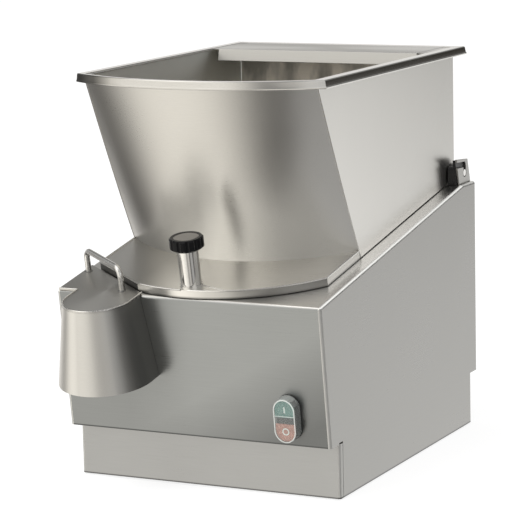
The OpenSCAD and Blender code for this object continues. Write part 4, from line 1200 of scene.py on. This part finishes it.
class CHIPPER_OT_stage(bpy.types.Operator):
    """Set the floor, the backdrop, the lamps and the camera"""

    bl_idname = "chipper.stage"
    bl_label = "Stage"

    def execute(self, context):
        bpy.ops.object.select_all(action="DESELECT")
        bpy.ops.mesh.primitive_plane_add(size=60.0)
        floor = context.object
        floor.name = "floor"
        floor.data.materials.append(stage_material("pale_floor", 0.78, 0.3))
        floor.visible_glossy = False
        bpy.ops.mesh.primitive_uv_sphere_add(radius=40.0)
        dome = context.object
        dome.name = "backdrop"
        dome.data.materials.append(stage_material("white_backdrop", 1.0))
        dome.visible_glossy = dome.visible_diffuse = False
        dome.visible_shadow = dome.visible_transmission = False
        room_light(context.scene)
        for name, at, width, watts in LAMPS:
            bpy.ops.object.light_add(type="AREA", location=at)
            lamp = context.object
            lamp.name = name
            lamp.data.size = width
            lamp.data.energy = watts
            lamp.rotation_euler = at.to_track_quat("Z", "Y").to_euler()
            lamp.visible_glossy = False
        room = studio()
        back = toward(room.azimuth, room.elevation)
        turn, roll = math.radians(room.azimuth), math.radians(room.roll)
        right = Vector((math.cos(turn), math.sin(turn), 0.0))
        up = back.cross(right)
        across = math.cos(roll) * right + math.sin(roll) * up
        upward = math.cos(roll) * up - math.sin(roll) * right
        bpy.ops.object.camera_add()
        camera = context.object
        stand = Vector(room.target) + back * room.distance
        camera.matrix_world = Matrix.Translation(stand) @ axes_of(across, upward, back)
        camera.data.lens = room.lens
        camera.data.sensor_width = 36.0
        camera.data.clip_end = 200.0
        context.scene.camera = camera
        context.scene.view_settings.view_transform = "Standard"
        return {"FINISHED"}


class CHIPPER_PT_panel(bpy.types.Panel):
    """Lists the steps that dress the chipper"""

    bl_idname = "CHIPPER_PT_panel"
    bl_label = "Potato chipper"
    bl_space_type = "VIEW_3D"
    bl_region_type = "UI"
    bl_category = "Chipper"

    def draw(self, context):
        for operator in OPERATORS:
            self.layout.operator(operator.bl_idname)


OPERATORS = (
    CHIPPER_OT_sheet_steel,
    CHIPPER_OT_rim,
    CHIPPER_OT_hopper,
    CHIPPER_OT_chute,
    CHIPPER_OT_lock,
    CHIPPER_OT_hinge,
    CHIPPER_OT_switch,
    CHIPPER_OT_fittings,
    CHIPPER_OT_stage,
)
GROUPS = {
    "chipper_finishes": ChipperFinishes,
    "chipper_sizes": ChipperSizes,
    "chipper_studio": ChipperStudio,
}
CLASSES = (*GROUPS.values(), *OPERATORS, CHIPPER_PT_panel)


def register():
    for cls in CLASSES:
        bpy.utils.register_class(cls)
    for name, group in GROUPS.items():
        setattr(bpy.types.Scene, name, bpy.props.PointerProperty(type=group))


def unregister():
    for name in GROUPS:
        delattr(bpy.types.Scene, name)
    for cls in reversed(CLASSES):
        bpy.utils.unregister_class(cls)


def main():
    register()
    bpy.ops.chipper.sheet_steel()
    bpy.ops.chipper.rim()
    bpy.ops.chipper.hopper()
    bpy.ops.chipper.chute()
    bpy.ops.chipper.lock()
    bpy.ops.chipper.hinge()
    bpy.ops.chipper.switch()
    bpy.ops.chipper.fittings()
    bpy.ops.chipper.stage()


if __name__ == "__main__":
    main()
